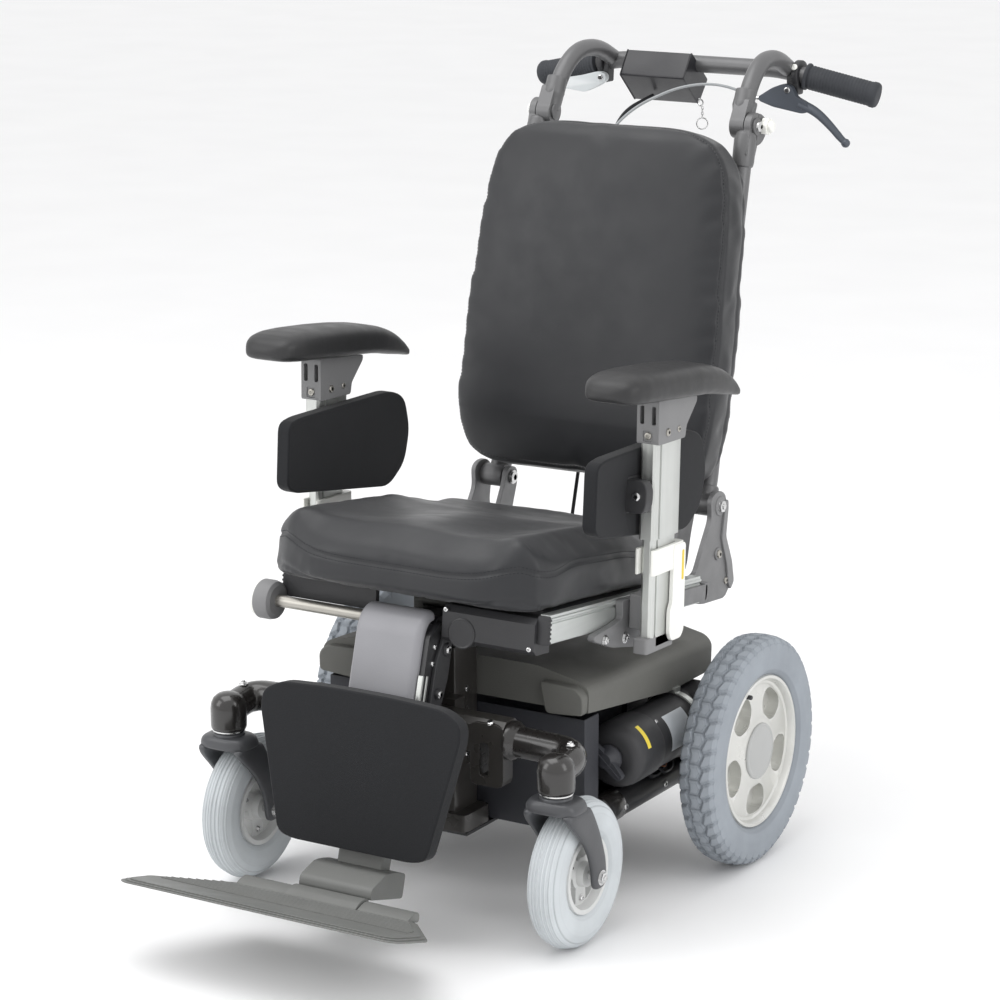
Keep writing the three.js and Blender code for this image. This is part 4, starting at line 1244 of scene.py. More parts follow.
def make_push_bar():
    along = (GRIP_TIP - GRIP_START).normalized()
    end = GRIP_TIP - along * 10
    bend = GRIP_START - along * 28
    bar = Piece("push_bar_tubes", "tube_grey", "handlebar", smooth=50)
    path = [(-end.x, end.y, end.z), (-bend.x, bend.y, bend.z), (-120, 392, 1038),
            (120, 392, 1038), bend, end]
    bar.tube(path, TUBE_R, 28, 30)
    for _, s in SIDES:
        bar.tube([(s * 152, PUSH.y + 8, PUSH.z + 10), (s * 151, 252, 1032), (s * 148, 292, 1060),
                  (s * 145, 345, 1060), (s * 143, 392, 1038)], TUBE_R, 28, 34)
    bar.done("push_bar")
    lobes = Piece("push_bar_joints", "tube_grey", "handlebar", bevel=1.6, smooth=30)
    for _, s in SIDES:
        ring = arc(PUSH.y, PUSH.z, 18, 140, 385, 24)
        lobes.prism("x", ring + [(PUSH.y + 27, PUSH.z + 28), (PUSH.y + 1, PUSH.z + 38)],
                    s * 144, s * 165.8, radius=4)
        lobes.drum("x", 12, s * 141, s * 145, PUSH.y, PUSH.z, 2)
        lobes.tube([(s * 153, PUSH.y + 2, PUSH.z + 2), (s * 151.8, PUSH.y + 10, PUSH.z + 26),
                    (s * 151.2, PUSH.y + 19, PUSH.z + 46)], [13, 15.6, 14.2], 32, 12)
    lobes.done()
    clamps = Piece("push_bar_clamps", "black", "handlebar", bevel=1.0)
    for _, s in SIDES:
        clamps.drum("x", 19.5, s * 153.4, s * 163.4, 393, 1033, 2)
        clamps.prism("y", [(s * 146, 1004), (s * 163, 1004), (s * 164, 1032), (s * 145, 1032)],
                     378.5, 396, radius=3)
        clamps.drum("y", 3, 364, 386, s * PIVOT_X, PIVOT_Z, 0.5, 20)
    clamps.done()
    screws = Piece("push_bar_screws", "white", "handlebar", smooth=30)
    for _, s in SIDES:
        screws.screw((s * 158, 376, 1044), (0, -0.8, 0.6), 4.6, 2.6)
    screws.done()
    for side, s in SIDES:
        start, tip = (Vector((s * p.x, p.y, p.z)) for p in (GRIP_START, GRIP_TIP))
        length = (tip - start).length
        profile = [(12.8, 0), (19, 0.4), (19.6, 2), (19, 4.2), (16.6, 5.4)]
        at = 8.0
        while at < length - 14:
            profile += [(16.9, at), (17.5, at + 0.9), (17.5, at + 3.1), (16.9, at + 4.0)]
            at += 4.6
        profile += [(17.2, length - 12), (18.4, length - 9), (18.4, length - 4),
                    (16.6, length - 0.8), (13, length), (0, length)]
        rubber_grip = Piece(f"grip_rubber_{side}", "grip", "handlebar", smooth=50)
        rubber_grip.spun(profile, pointing(start, tip), 48)
        rubber_grip.done(f"grip_{side}")


def make_levers():
    blade = Piece("brake_lever_blade", "lever", "brake_lever", bevel=1.6, smooth=40)
    blade.prism("y", [(106, 1000), (128, 1014), (146, 1021), (158, 1018), (166, 1003), (182, 996),
                      (190, 984), (176, 980), (130, 987), (108, 994)],
                BLADE_FRONT, BLADE_FRONT + 10, radius=5)
    oval = [(c * 1.25, d * 0.8) for c, d in circle(20)]
    blade.tube([(170, 371.5, 994), (196, 371.5, 984), (218, 371.5, 966), (236, 371.5, 948),
               (244, 371.5, 942)], [6, 5.4, 4.8, 4.2, 4.0], 20, 26, section=oval)
    blade.spun([(0, -6.6), (3.6, -5.6), (6, -2.6), (6.6, 0), (6, 2.6), (3.6, 5.6), (0, 6.6)],
              Matrix.Translation((243, 371.5, 942.5)), 28)
    blade.done("brake_lever")
    pin = Piece("brake_lever_pin", "chrome", "brake_lever", smooth=30)
    pin.screw((PIVOT_X, BLADE_FRONT, PIVOT_Z), (0, -1, 0), 4.8, 2.2)
    pin.drum("x", 3.2, 96, 110, 371.5, 997.5, 0.6, 20)
    pin.done()
    release = Piece("release_lever_blade", "release", "release_lever", bevel=2.2, smooth=40)
    release.prism("y", [(-144, 1018), (-156, 1021), (-186, 1013), (-214, 1008), (-228, 1003),
                     (-227, 993), (-205, 992), (-178, 989), (-152, 1001), (-142, 1009)],
               BLADE_FRONT, BLADE_FRONT + 10, radius=6)
    release.done("release_lever")
    pivot = Piece("release_lever_pin", "chrome", "release_lever", smooth=30)
    pivot.screw((-PIVOT_X, BLADE_FRONT, PIVOT_Z), (0, -1, 0), 4.6, 2)
    pivot.done()


def make_control_box():
    outline = [(368, 1056), (345, 1021), (391, 980), (418, 1013)]
    box = Piece("control_box_shell", "box_black", "handlebar", bevel=1.2)
    box.prism("x", outline, -106.5, -3.5, radius=3)
    box.done("control_box")
    lid = Piece("control_box_ends", "box_black", "handlebar", bevel=0.8)
    for x in (-108, -3.5):
        lid.prism("x", [(368, 1057), (344, 1021), (391, 979), (419, 1013)], x, x + 1.6, radius=3)
    lid.done()
    fixings = Piece("control_box_fixings", "chrome", "handlebar", smooth=30)
    for x in (-94, -16):
        fixings.screw((x, 375, 1049), (0, 0.4, 0.6), 3, 1.6)
    hook = [(1 + 3 * math.sin(a), 392 + 2 * math.sin(a), 982 + 4.4 * math.cos(a))
            for a in np.linspace(0, 6.1, 18)]
    fixings.tube([(-6, 391, 988)] + hook, 1.2, 10)
    fixings.done()
    ring = Piece("pull_ring_chain", "chrome", "pull_ring", smooth=60)
    for i, z in enumerate((974.5, 970.5, 966.5, 962.5)):
        spin = math.pi / 2 * (i % 2)
        link = [(4 + 1.6 * math.cos(a) * math.cos(spin), 392 + 1.6 * math.cos(a) * math.sin(spin),
                 z + 3 * math.sin(a)) for a in np.linspace(0, ROUND, 15)]
        ring.tube(link, 0.6, 8, ends=False)
    hoop = [(4 + 6.8 * math.sin(a), 392 + 4.4 * math.sin(a), 952 + 8.2 * math.cos(a))
            for a in np.linspace(0, ROUND, 41)]
    ring.tube(hoop, 1.05, 10, ends=False)
    ring.done("pull_ring")


def cord_length(path):
    return sum((b - a).length for a, b in zip(path, path[1:])) * MM


def make_cable(name, node, corners, radius, material, low, high):
    """A cable from the push bar to the back, swept as a fixed tube along its rounded corners."""
    path = smooth_path(corners, 60, 10)
    piece = Piece(name, material, None, smooth=60)
    piece.tube(path, radius, 14)
    obj = piece.done()
    start, end = TO_ROW @ Vector(corners[low]), TO_ROW @ Vector(corners[high])
    row = [TO_ROW @ p for p in path]
    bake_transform(obj)
    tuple(start)
    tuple(end)
    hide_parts(node)
    tuple(row[0])
    cord_length(path)
    [tuple(p) for p in row]


def make_cables():
    make_cable("brake_cable_sleeve", "brake_cable", [
        (98, 372, 1000), (40, 364, 1016), (-8, 343, 1010), (-68, 300, 978), (-96, 246, 916),
        (-100, 222, 820), (-100, 176, 600), (-88, 150, 540)], 2.0, "cable_silver", 3, 5)
    make_cable("control_cable_sleeve", "control_cable", [
        (-66, 371, 991), (-88, 320, 972), (-84, 262, 920), (-60, 226, 830), (-56, 172, 590),
        (-56, 130, 440), (-50, 90, 330)], 2.6, "cable_black", 1, 3)
    ends = Piece("cable_ferrules", "chrome", "handlebar", smooth=30)
    ends.spun([(0, 0), (3.2, 0), (3.2, 9), (2.4, 11), (0, 11)],
              pointing((99, 372, 999.6), (40, 364, 1016)), 20)
    ends.done()


# ---- hinges, rails and seat front ----

def make_side_plate(side, s):
    outer = [(14, 384), (30, 386), (50, 417), (74, 452), (72, 480), (84, 488), (104, 488),
             (117, 478), (118, 462), (112, 422), (131, 382), (138, 351), (117, 331), (51, 337),
             (14, 347)]
    inner = [(18, 384), (38, 388), (66, 436), (80, 462), (84, 479), (98, 483), (112, 479),
             (116, 462), (100, 420), (90, 380), (70, 350), (18, 342)]
    plate = Piece(f"hinge_casting_{side}", "casting", "seat", bevel=1.8, smooth=30)
    plate.prism("x", outer, s * 187, s * 194.6, radius=9)
    plate.prism("x", inner, s * 141.4, s * 149, radius=9)
    plate.prism("x", [(16, 345), (62, 345), (62, 357), (16, 357)], s * 142, s * 194, radius=3)
    plate.drum("x", 14, s * 184.5, s * 196.5, HINGE_Y, HINGE_Z, 1.5)
    plate.drum("x", 9, s * 186, s * 197, 92, 400, 1.5)
    plate.done(f"side_plate_{side}")
    rim = Piece(f"hinge_rim_{side}", "bracket", "seat", bevel=1.4, smooth=30)
    rim.prism("x", [(106, 470), (118, 474), (119, 460), (113, 422), (132, 382), (139, 351),
                    (128, 340), (121, 352), (116, 380), (100, 420), (107, 455)],
              s * 187.6, s * 198, radius=5)
    rim.done()
    arm = Piece(f"seat_bracket_{side}", "casting", "seat", SEAT, bevel=1.6, smooth=30)
    arm.prism("x", [(-20, 46), (38, 46), (40, 12), (62, 8), (64, -16), (20, -20), (-40, -13),
                    (-90, 2), (-88, 9), (-42, 16), (-16, 22)], s * 215.6, s * 226, radius=5)
    arm.prism("x", [(30, 14), (229, 14), (231, 24), (231, 36), (30, 36)],
              s * 215.6, s * 221.5, radius=4)
    arm.prism("z", [(s * 188, 223), (s * 221.5, 223), (s * 221.5, 234), (s * 212, 237),
                    (s * 188, 237)], 14, 38, radius=3)
    arm.done()
    bolts = Piece(f"seat_bolts_{side}", "chrome", "seat", SEAT, smooth=30)
    for y, z in ((-62, 0), (-8, -4), (46, -4), (28, 30)):
        bolts.nut((s * 226, y, z), (s, 0, 0), 5.6, 4)
    bolts.done()
    low = Piece(f"hinge_bolts_{side}", "steel", "seat", smooth=30)
    low.screw((s * 197, 92, 400), (s, 0, 0), 6, 3)
    low.screw((s * 194.6, 118, 356), (s, 0, 0), 5, 2.6)
    low.done()


def make_rail(side, s):
    front = -186 if s > 0 else -150
    rail = Piece(f"seat_rail_bar_{side}", "rail", "seat", SEAT, bevel=0.5, smooth=30)
    section = [(200, 10), (214, 10), (215, 11), (215, 36), (213.4, 37), (213.4, 38.6), (215, 39.4),
               (216, 40), (216, 43), (214, 44), (214, 47.4), (200, 47.4)]
    rail.prism("y", [(s * x, z) for x, z in section], front, 222)
    rail.done(f"seat_rail_{side}")
    end = Piece(f"rail_end_{side}", "black", "seat", SEAT, bevel=0.6)
    end.prism("y", [(s * 199, 9), (s * 215.8, 9), (s * 215.8, 46), (s * 199, 46)],
              front - 4.5, front, radius=2)
    for k in range(6):
        end.box(min(s * 214, s * 217.4), max(s * 214, s * 217.4), front - 4.5, front,
                11 + 5.8 * k, 14 + 5.8 * k)
    end.done()


def make_seat_front():
    carry("seat_pan", "black", 1.5)
    rod = Piece("legrest_rod_bar", "steel", "seat", SEAT, smooth=40)
    rod.tube([(-206, ROD_Y, ROD_Z), (156, ROD_Y, ROD_Z)], 8, 28)
    rod.done("legrest_rod")
    ends = Piece("rod_end_housing", "bracket", "seat", SEAT, smooth=30)
    ends.spun([(0, -203), (20, -203), (25, -206), (26.5, -212), (26.5, -226), (25, -228),
               (0, -228)], Matrix.Translation((0, ROD_Y, ROD_Z)), 56, "x")
    ends.done()
    cap = Piece("rod_end_cap", "white", "seat", SEAT, smooth=40)
    cap.spun([(0, -227), (24, -227), (24.4, -229), (23.6, -233.6), (21.4, -236.4), (17, -237.4),
              (0, -237.8)], Matrix.Translation((0, ROD_Y, ROD_Z)), 56, "x")
    cap.done()
    pocket = Piece("seat_front_pocket", "frame_black", "seat", SEAT, smooth=30)
    pocket.spun([(0, -3), (13, -3), (14, -1), (17, -0.4), (18.6, 0), (20, -0.6), (20, -2.4)],
                Matrix.Translation((92, -198.4, 8)) @ Matrix.Rotation(math.pi / 2, 4, "X"), 48)
    pocket.done()
    fixings = Piece("seat_front_fixings", "chrome", "seat", SEAT, smooth=30)
    for x, z in ((67, 36), (192, 2)):
        fixings.screw((x, -197.6, z), (0, -1, 0), 3.4, 1.6)
    fixings.done()


# ---- armrests ----

def lobed(width, front, rear, throat):
    """Section of the arm tubes: a narrow lobe in front, a groove each side, a flat main body."""
    half = [(0, front), (width - 4.5, front), (width - 1.2, front + 2.2), (width - 0.2, front + 6),
            (width - 0.6, throat - 1.6), (width - 3.4, throat - 0.8), (width - 3.4, throat + 1.6),
            (width, throat + 2.4), (width, rear - 4), (width - 1.4, rear - 1.2), (width - 4, rear),
            (0, rear)]
    return half + [(-x, y) for x, y in reversed(half[1:-1])]


def make_armrest(side, s):
    base = ARM[side]
    post = Piece(f"arm_post_tube_{side}", "alu", None, base)
    post.prism("z", lobed(12, -37, 33, -23), 150, 290)
    obj = post.done()
    bore = Piece("bore", "alu", None, base)
    bore.prism("z", lobed(9.5, -33.5, 29.5, -21), 140, 282)
    cut(obj, bore.done())
    settle(obj, 0.6, 30, f"arm_{side}", f"arm_post_{side}")
    receiver = Piece(f"arm_receiver_tube_{side}", "alu", "seat", base, bevel=0.5, smooth=30)
    receiver.prism("z", lobed(9, -33, 29, -21), 6, 250)
    receiver.done(f"arm_receiver_{side}")
    shoe = Piece(f"arm_shoe_{side}", "bracket", "seat", base, bevel=1.6)
    shoe.prism("z", [(-s * 13, -42), (s * 9, -42), (s * 9, 31), (-s * 13, 31)], -1, 20, radius=5)
    shoe.prism("z", [(-s * 33.2, -16), (-s * 9, -16), (-s * 9, 14), (-s * 33.2, 14)], 24, 70,
               radius=3)
    shoe.done()
    latch = Piece(f"arm_latch_band_{side}", "white", None, base)
    latch.prism("z", [(-14.5, -40), (14.5, -40), (14.5, 44), (-14.5, 44)], 104, 138, radius=6)
    latch.prism("x", [(7, 18), (14, 8), (38, 8), (46, 17), (46, 132), (42, 136), (14, 136),
                      (13, 60), (7, 50)], s * 9.9, s * 15.6, radius=5)
    obj = latch.done()
    hole = Piece("hole", "white", None, base)
    hole.box(-9.5, 9.5, -50, 30.2, 90, 150)
    cut(obj, hole.done())
    settle(obj, 1.4, 30, f"arm_latch_{side}", f"arm_latch_{side}")
    stripe = Piece(f"arm_latch_stripe_{side}", "yellow", f"arm_latch_{side}", base, bevel=0.3)
    stripe.prism("x", [(36, 86), (41, 86), (41, 126), (36, 126)], s * 15.5, s * 16.2, radius=2)
    stripe.done()
    mount = Piece(f"arm_bracket_body_{side}", "bracket", None, base)
    mount.prism("x", [(-39, 276), (34, 276), (37, 292), (64, 320), (64, 326.6), (-40, 334.6)],
                -16, 16, radius=4)
    obj = mount.done()
    hole = Piece("hole", "bracket", None, base)
    hole.prism("z", lobed(12.2, -37.2, 33.2, -23), 260, 290.3)
    for x in (-8.5, 8.5):
        hole.prism("y", [(x - 3, 302), (x + 3, 302), (x + 3, 326), (x - 3, 326)], -60, -30,
                   radius=2.5)
    hole.prism("y", [(-7, 280), (7, 280), (7, 294), (-7, 294)], -60, -38, radius=3)
    cut(obj, hole.done())
    settle(obj, 1.5, 30, f"arm_{side}", f"arm_bracket_{side}")
    screws = Piece(f"arm_screws_{side}", "steel", f"arm_{side}", base, smooth=30)
    screws.screw((0, -38, 287), (0, -1, 0), 5, 2.4)
    for face in (-1, 1):
        screws.screw((face * 16, -14, 290), (face, 0, 0), 5.2, 2.4)
        screws.screw((face * 16, 16, 290), (face, 0, 0), 4.2, 1.4)
    screws.done()


# ---- legrest ----

def make_leg_cover():
    path = smooth_path([(0, -46, -214), (0, -46, -8), (0, -39.5, 9.5), (0, -27, 20),
                        (0, -13, 22.5)], 18, 6)
    spots = []
    for a, b in zip(path, path[1:]):
        parts = max(1, int((b - a).length / 12))
        spots += [a.lerp(b, k / parts) for k in range(parts)]
    spots.append(path[-1])
    across = np.concatenate([np.linspace(-51, -41, 9)[:-1], np.linspace(-41, 41, 9),
                             np.linspace(41, 51, 9)[1:]])

    def drop(x):
        """How far the cover's rounded edges fall away."""
        t = min(1.0, max(0.0, (abs(x) - 41) / 10))
        return 11 * (1 - math.sqrt(max(0.0, 1 - t * t)))

    def section(spot, inward):
        ring = [(x, *(spot + inward * drop(x)).yz) for x in across]
        ring += [(x * 0.93, *(spot + inward * (drop(x) + 3.2)).yz) for x in across[::-1]]
        return ring

    stations = []
    for i, spot in enumerate(spots):
        ahead = (spots[min(i + 1, len(spots) - 1)] - spots[max(i - 1, 0)]).normalized()
        stations.append((spot, Vector((0, ahead.z, -ahead.y))))
    cover = Piece("leg_cover_shell", "leg_cover", "legrest", LEG, smooth=45)
    loft(cover, stations, section)
    subdivide(cover.done("leg_cover"))
    stay = Piece("leg_pad_stay", "black", "legrest", LEG, bevel=1.2)
    stay.prism("x", [(-46.4, -100), (-63.8, -100), (-52.8, -180), (-46.4, -180)], -28, 28)
    stay.done()


def make_leg_frame():
    carry("leg_frame", "frame_black", 0.8)
    strip = Piece("leg_side_rail", "alu", "legrest", LEG, bevel=0.6)
    strip.prism("z", [(51.5, -40), (58.6, -40), (58.6, -36), (56.6, -35), (56.6, -31), (58.6, -30),
                      (58.6, -26), (51.5, -26)], -206, -62)
    strip.done()
    gear = Piece("leg_side_gear", "black", "legrest", LEG, bevel=1.0)
    gear.prism("x", [(-20, -112), (8, -104), (16, -60), (14, -6), (-6, -4), (-18, -40)], 58, 63,
               radius=6)
    gear.drum("x", 9, 58, 66, 2, -26, 1.4)
    gear.drum("x", 7, 58, 68, -6, -84, 1.4)
    gear.done()
    screws = Piece("leg_screws", "chrome", "legrest", LEG, smooth=30)
    for y, z in ((-6, -84), (2, -26)):
        screws.screw((67 if z < -50 else 65.5, y, z), (1, 0, 0), 5.4, 2.4)
    for z in (-24, -46, -100, -128):
        screws.screw((58, -28 if z < -60 else -20, z), (1, 0, 0), 3.8, 2.2)
    screws.done()


def make_leg_slide():
    tube = Piece("leg_tube_bar", "foot", "leg_slide", LEG, bevel=3.0)
    tube.box(-34.5, 34.5, -35, -12.2, -322, -80)
    tube.done("leg_tube")
    clamp = Piece("foot_clamp", "foot", "leg_slide", LEG, bevel=2.2, smooth=30)
    clamp.prism("x", [(-85, -350), (-8, -350), (-8, -318), (-20, -316), (-40, -316), (-56, -318),
                      (-85, -336)], -55, 55, radius=5)
    for s in (-1, 1):
        clamp.prism("x", [(-97, -361), (-84, -361), (-80, -348), (-92, -350), (-97, -352)],
                    s * 37.2, s * 50, radius=3)
    clamp.drum("x", 3, -50, 50, -92, -356, 0.4, 20)
    clamp.done()


def make_footplate():
    plate = Piece("footplate_tray", "foot", "footplate", LEG, bevel=0.9, smooth=30)
    for inset, low, high in ((0, -366.2, -363.8), (3.5, -364, -362), (8, -362.2, -360.2)):
        ring = [(196 - inset, -268 + inset), (209 - 1.2 * inset, -258 + 0.7 * inset),
                (214 - 1.2 * inset, -200 - 0.2 * inset), (132 - 0.5 * inset, -92 - inset),
                (62, -86 - inset), (58, -104 - inset * 0.3), (52, -106 - inset * 0.3)]
        plate.prism("z", mirror_points(ring), low, high, radius=7)
    for k in range(9):
        y = -202 + 9 * k
        reach = min(186, 192 - 0.72 * max(0, y + 196))
        bar = [(-reach, y - 1.1), (reach, y - 1.1), (reach, y + 1.1), (-reach, y + 1.1)]
        plate.prism("z", bar, -360.6, -358.6, radius=1.0)
    plate.done("footplate")
    heel = Piece("footplate_heels", "foot", "footplate", LEG, bevel=1.6, smooth=40)
    for s in (-1, 1):
        heel.prism("x", [(-116, -361.5), (-106, -354), (-98, -350.4), (-91, -350), (-87.4, -353),
                         (-86.5, -363)], s * 55, s * 131, radius=5)
    heel.prism("x", [(-118, -361.5), (-109, -352), (-99, -347.8), (-91, -347.2), (-87, -349.2),
                     (-85.6, -355), (-86, -364), (-92, -366)], -54, 54, radius=4)
    heel.done()


# ---- base ----

def arc_patch(piece, axis_at, radius, thick, y0, y1, low, high, steps=14):
    """A thin plate wrapped round a cylinder that runs along Y."""
    x, z = axis_at
    ring = []
    for r, order in ((radius, 1), (radius + thick, -1)):
        for a in np.linspace(low, high, steps)[::order]:
            ring.append((x + r * math.cos(a), z + r * math.sin(a)))
    piece.prism("y", ring, y0, y1)


def make_battery_cover():
    slope = (Matrix.Translation((0, -285, 300)) @ Matrix.Rotation(math.radians(-3.2), 4, "X")
             @ Matrix.Translation((0, 285, -300)))

    def half(side, inset):
        return mirror_points([(side, 180), (side, 303 - inset / 2), (side - 11, 313 - inset),
                              (128, 327 - inset)])

    def remove(draw):
        tool = Piece("tool", "cover", None)
        draw(tool)
        cut(obj, tool.done())

    cover = Piece("battery_cover_shell", "cover", None)
    cover.prism("y", half(208, 0), -289.3, 55, slope, radius=13)
    obj = cover.done()
    remove(lambda tool: tool.prism("y", half(204.5, 3.5), -285.9, 51.5, slope, radius=9))
    remove(lambda tool: tool.prism("x", [(-320, 100), (120, 100), (120, 220), (-320, 278)],
                                   -260, 260))
    for _, s in SIDES:
        slot = [(s * 133, -98), (s * 151, -98), (s * 151, 4), (s * 133, 4)]
        remove(lambda tool: tool.drum("y", 50, -240, 80, s * MOTOR_X, MOTOR_Z, 0.5, 64))
        remove(lambda tool: tool.prism("z", slot, 200, 360, radius=4))
    remove(lambda tool: tool.box(-199, 199, -292, -285.2, 200, 270))
    settle(obj, 3.2, 40, "base", "battery_cover")
    obj.modifiers["edges"].segments = 3
    for side, s in SIDES:
        bump = Piece(f"cover_corner_{side}", "cover", "base", bevel=3.0, smooth=40)
        bump.prism("y", [(s * 150, 268), (s * 206, 272), (s * 206.5, 298), (s * 194, 309),
                         (s * 140, 311)], -303, -286, radius=7)
        bump.done()


def make_motor(side, s):
    spot = Matrix.Translation((s * MOTOR_X, 0, MOTOR_Z))
    can = Piece(f"motor_can_{side}", "black", "base", smooth=40)
    can.spun([(0, -224), (16, -224), (17.6, -225.6), (29, -226), (36, -223.6), (41, -218.6),
              (44, -211.6), (45.2, -203), (45.2, -158), (44.4, -155.4), (42.6, -154.6), (42.6, -60),
              (44.6, -59), (44.6, -34), (0, -34)], spot, 64, "y")
    can.done(f"motor_{side}")
    box = Piece(f"gearbox_{side}", "black", "base", bevel=4.0, smooth=30)
    box.prism("x", [(-42, 142), (40, 142), (44, 170), (44, 222), (26, 238), (-42, 238)],
              s * 160, s * 246.6, radius=10)
    box.drum("x", 24, s * 245, s * 257.5, 0, 159, 2)
    box.done()
    trim = Piece(f"motor_clamp_{side}", "alu", "base", bevel=0.4, smooth=40)
    trim.spun([(44, -58), (46.4, -57.4), (46.4, -47), (44, -46.4)], spot, 64, "y")
    trim.prism("x", [(-60, 240), (-44, 240), (-44, 248), (-60, 248)], s * 200, s * 212, radius=2)
    trim.done()
    screws = Piece(f"motor_screws_{side}", "chrome", "base", smooth=30)
    for a in (0.9, 2.2, 3.9, 5.4):
        c, d = math.cos(a), math.sin(a)
        screws.screw((s * (MOTOR_X + 42.4 * c), -150, MOTOR_Z + 42.4 * d), (s * c, 0, d), 3.2, 2)
    for y, z in ((-30, 152), (30, 152), (32, 224), (-30, 228)):
        screws.screw((s * 246.6, y, z), (s, 0, 0), 5, 2.6)
    screws.done()
    low, high = (0.28, 1.05) if s > 0 else (math.pi - 1.05, math.pi - 0.28)
    strip = Piece(f"motor_strip_{side}", "yellow", "base", smooth=50)
    arc_patch(strip, (s * MOTOR_X, MOTOR_Z), 45, 0.5, -201, -193, low, high)
    strip.done()
    low, high = (-0.25, 0.95) if s > 0 else (math.pi - 0.95, math.pi + 0.25)
    plate = Piece(f"motor_plate_{side}", "label", "base", smooth=50)
    arc_patch(plate, (s * MOTOR_X, MOTOR_Z), 42.4, 0.5, -132, -78, low, high, 20)
    plate.done()
    turn_by = spot @ Matrix.Rotation(math.radians(42), 4, "Y")
    lever = Piece(f"freewheel_handle_{side}", "tray", f"freewheel_{side}", bevel=1.5, smooth=35)
    lever.prism("y", [(-33, -5), (-12, -8), (12, -8), (33, -5), (33, 5), (12, 8), (-12, 8),
                      (-33, 5)], -243, -234, turn_by, radius=5)
    lever.prism("y", [(-30, -1.4), (30, -1.4), (30, 1.4), (-30, 1.4)], -244.4, -240, turn_by,
                radius=1.2)
    lever.spun([(0, -243.6), (10, -243.6), (12, -241), (14, -234), (17.6, -231), (18.6, -227.2),
                (0, -227.2)], spot, 40, "y")
    lever.drum("y", 6, -228, -216, s * MOTOR_X, MOTOR_Z, 0.8, 24)
    lever.done(f"freewheel_lever_{side}")


def make_wiring(side, s):
    black = Piece(f"motor_wires_{side}", "cable_black", "base", smooth=60)
    black.tube([(s * 206, -126, 153), (s * 210, -124, 140), (s * 206, -92, 134),
                (s * 196, -50, 146), (s * 176, -36, 150)], 3.2, 12, 16)
    black.tube([(s * 214, -112, 154), (s * 219, -104, 142), (s * 214, -70, 137),
                (s * 200, -44, 150)], 2.2, 12, 14)
    black.tube([(s * 196, -96, 153), (s * 200, -86, 143), (s * 190, -62, 146),
                (s * 178, -44, 160)], 2.2, 12, 14)
    black.done()
    red = Piece(f"motor_lead_{side}", "copper", "base", smooth=60)
    red.tube([(s * 209, -104, 153), (s * 214, -92, 146), (s * 206, -70, 141), (s * 190, -42, 156)],
             1.4, 10, 12)
    red.done()


def make_caster_beam(side, s):
    beam = Piece(f"caster_beam_tube_{side}", "gloss_black", "base", smooth=50)
    beam.tube([(s * 153, BEAM_Y, BEAM_Z), (s * CASTER_X, -394, 255), (s * CASTER_X, -452, 246)],
              20.5, 40, 46)
    beam.spun([(0, 152.6), (23, 152.6), (26, 154), (26, 159), (24, 161), (22.4, 165), (20, 168)],
              Matrix.Diagonal((s, 1, 1, 1)) @ Matrix.Translation((0, BEAM_Y, BEAM_Z)), 48, "x")
    beam.spun([(8.6, 222), (22, 222), (23.6, 223.4), (24.3, 227), (24.4, 250), (23.2, 258),
               (20, 264.6), (14, 269.4), (7, 271.6), (0, 272.2)],
              Matrix.Translation((s * CASTER_X, SWIVEL_Y, 0)), 56)
    beam.done(f"caster_beam_{side}")
    fix = Piece(f"caster_beam_fixings_{side}", "chrome", "base", smooth=30)
    fix.spun([(9, 219), (21, 219), (22, 219.6), (22, 221.4), (21, 222), (9, 222)],
             Matrix.Translation((s * CASTER_X, SWIVEL_Y, 0)), 48)
    fix.nut((s * CASTER_X, -414, 273.6), (0, -0.12, 1), 4.6, 3)
    fix.screw((s * 132, -411, 282), (0, -0.5, 0.8), 4.6, 2.4)
    fix.done()


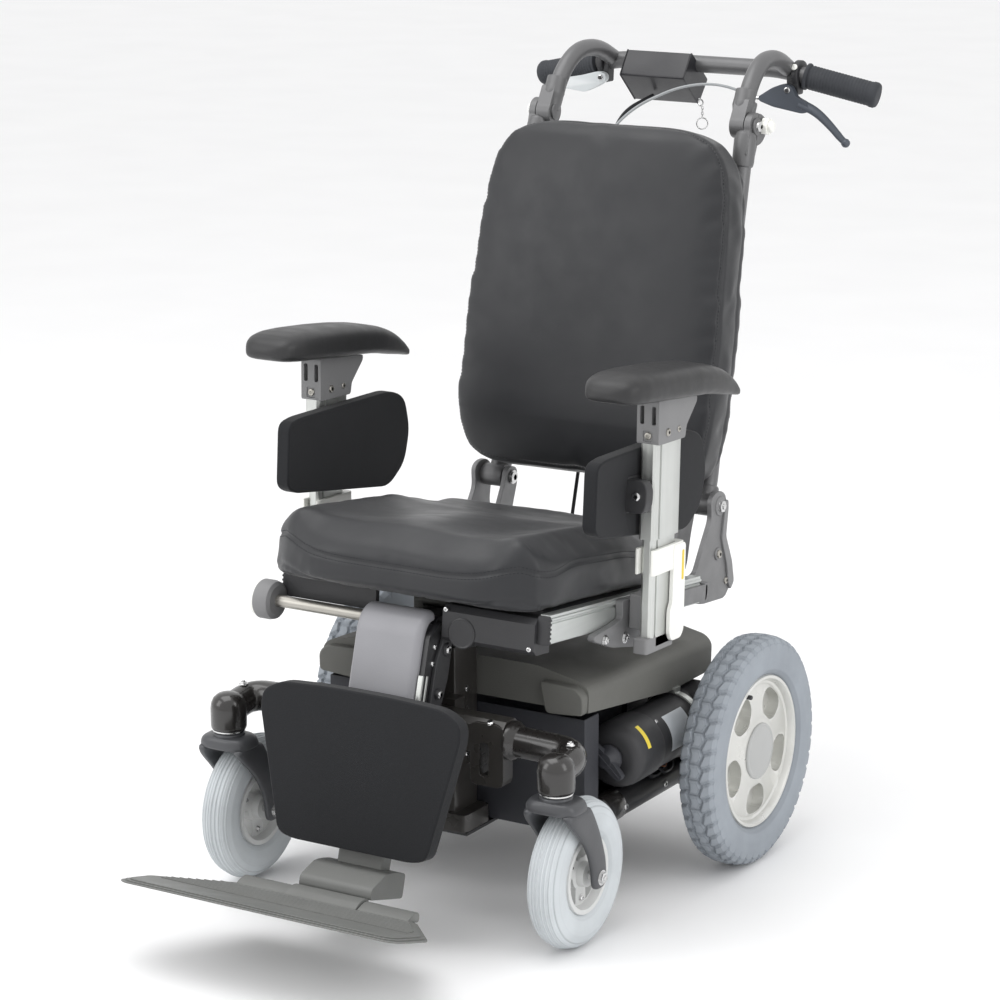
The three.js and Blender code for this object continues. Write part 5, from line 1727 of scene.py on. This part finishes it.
def make_chassis():
    carry("chassis_frame", "frame_black", 1.0)
    carry("battery_box", "tray", 5.0)
    carry("battery_pack", "tray", 2.0)
    carry("controller_module", "frame_black", 0.8)
    carry("front_mount", "mount", 2.6)
    carry("mast_upper", "mast", 0.8)
    trim = Piece("side_tube_trim", "gloss_black", "base", smooth=35)
    for _, s in SIDES:
        trim.spun([(0, -244.5), (12, -244.5), (17, -243), (20.4, -239), (21, -230), (21, -200),
                   (20.2, -198.6)], Matrix.Translation((s * SIDE_TUBE_X, 0, SIDE_TUBE_Z)), 40, "y")
        trim.spun([(20.1, 40), (22, 41), (22, 66), (20, 71.6), (0, 72)],
                  Matrix.Translation((s * SIDE_TUBE_X, 0, SIDE_TUBE_Z)), 40, "y")
        trim.prism("x", [(-20, 96), (26, 96), (40, 104), (40, 143), (-20, 143)],
                   s * 180, s * 214, radius=6)
    trim.done()
    screws = Piece("chassis_screws", "chrome", "base", smooth=30)
    for _, s in SIDES:
        for y in (-200, -90, 8):
            screws.screw((s * 215, y, SIDE_TUBE_Z), (s, 0, 0), 4.4, 2)
        for x, z in ((48, 276), (48, 220)):
            screws.screw((s * x, -374, z), (0, -1, 0), 5, 2.6)
        screws.nut((s * 147, -40, 345), (s, 0, 0), 7, 4)
        for z in (200, 290):
            screws.screw((s * 42, -322, z), (s, 0, 0), 4, 2)
    screws.done()
    caps = Piece("mast_screws", "chrome", "mast", smooth=30)
    for z in (366, 300):
        caps.screw((14, -346.4, z), (0, -1, 0), 3.6, 2)
    caps.done()


# ---- the whole chair ----

make_camera()
make_stage()
make_seat_cushion()
make_back_cushion()
make_calf_pad()
for side, s in SIDES:
    make_arm_pad(side, s)
    make_side_pad(side, s)
    make_drive_tyre(side, s)
    make_drive_rim(side, s)
    make_caster_tyre(side, s)
    make_caster_hub(side, s)
    make_caster_fork(side, s)
make_back_frame()
make_push_bar()
make_levers()
make_control_box()
make_cables()
make_seat_front()
make_leg_cover()
make_leg_frame()
make_leg_slide()
make_footplate()
for side, s in SIDES:
    make_side_plate(side, s)
    make_rail(side, s)
    make_armrest(side, s)
make_battery_cover()
make_chassis()
for side, s in SIDES:
    make_motor(side, s)
    make_wiring(side, s)
    make_caster_beam(side, s)
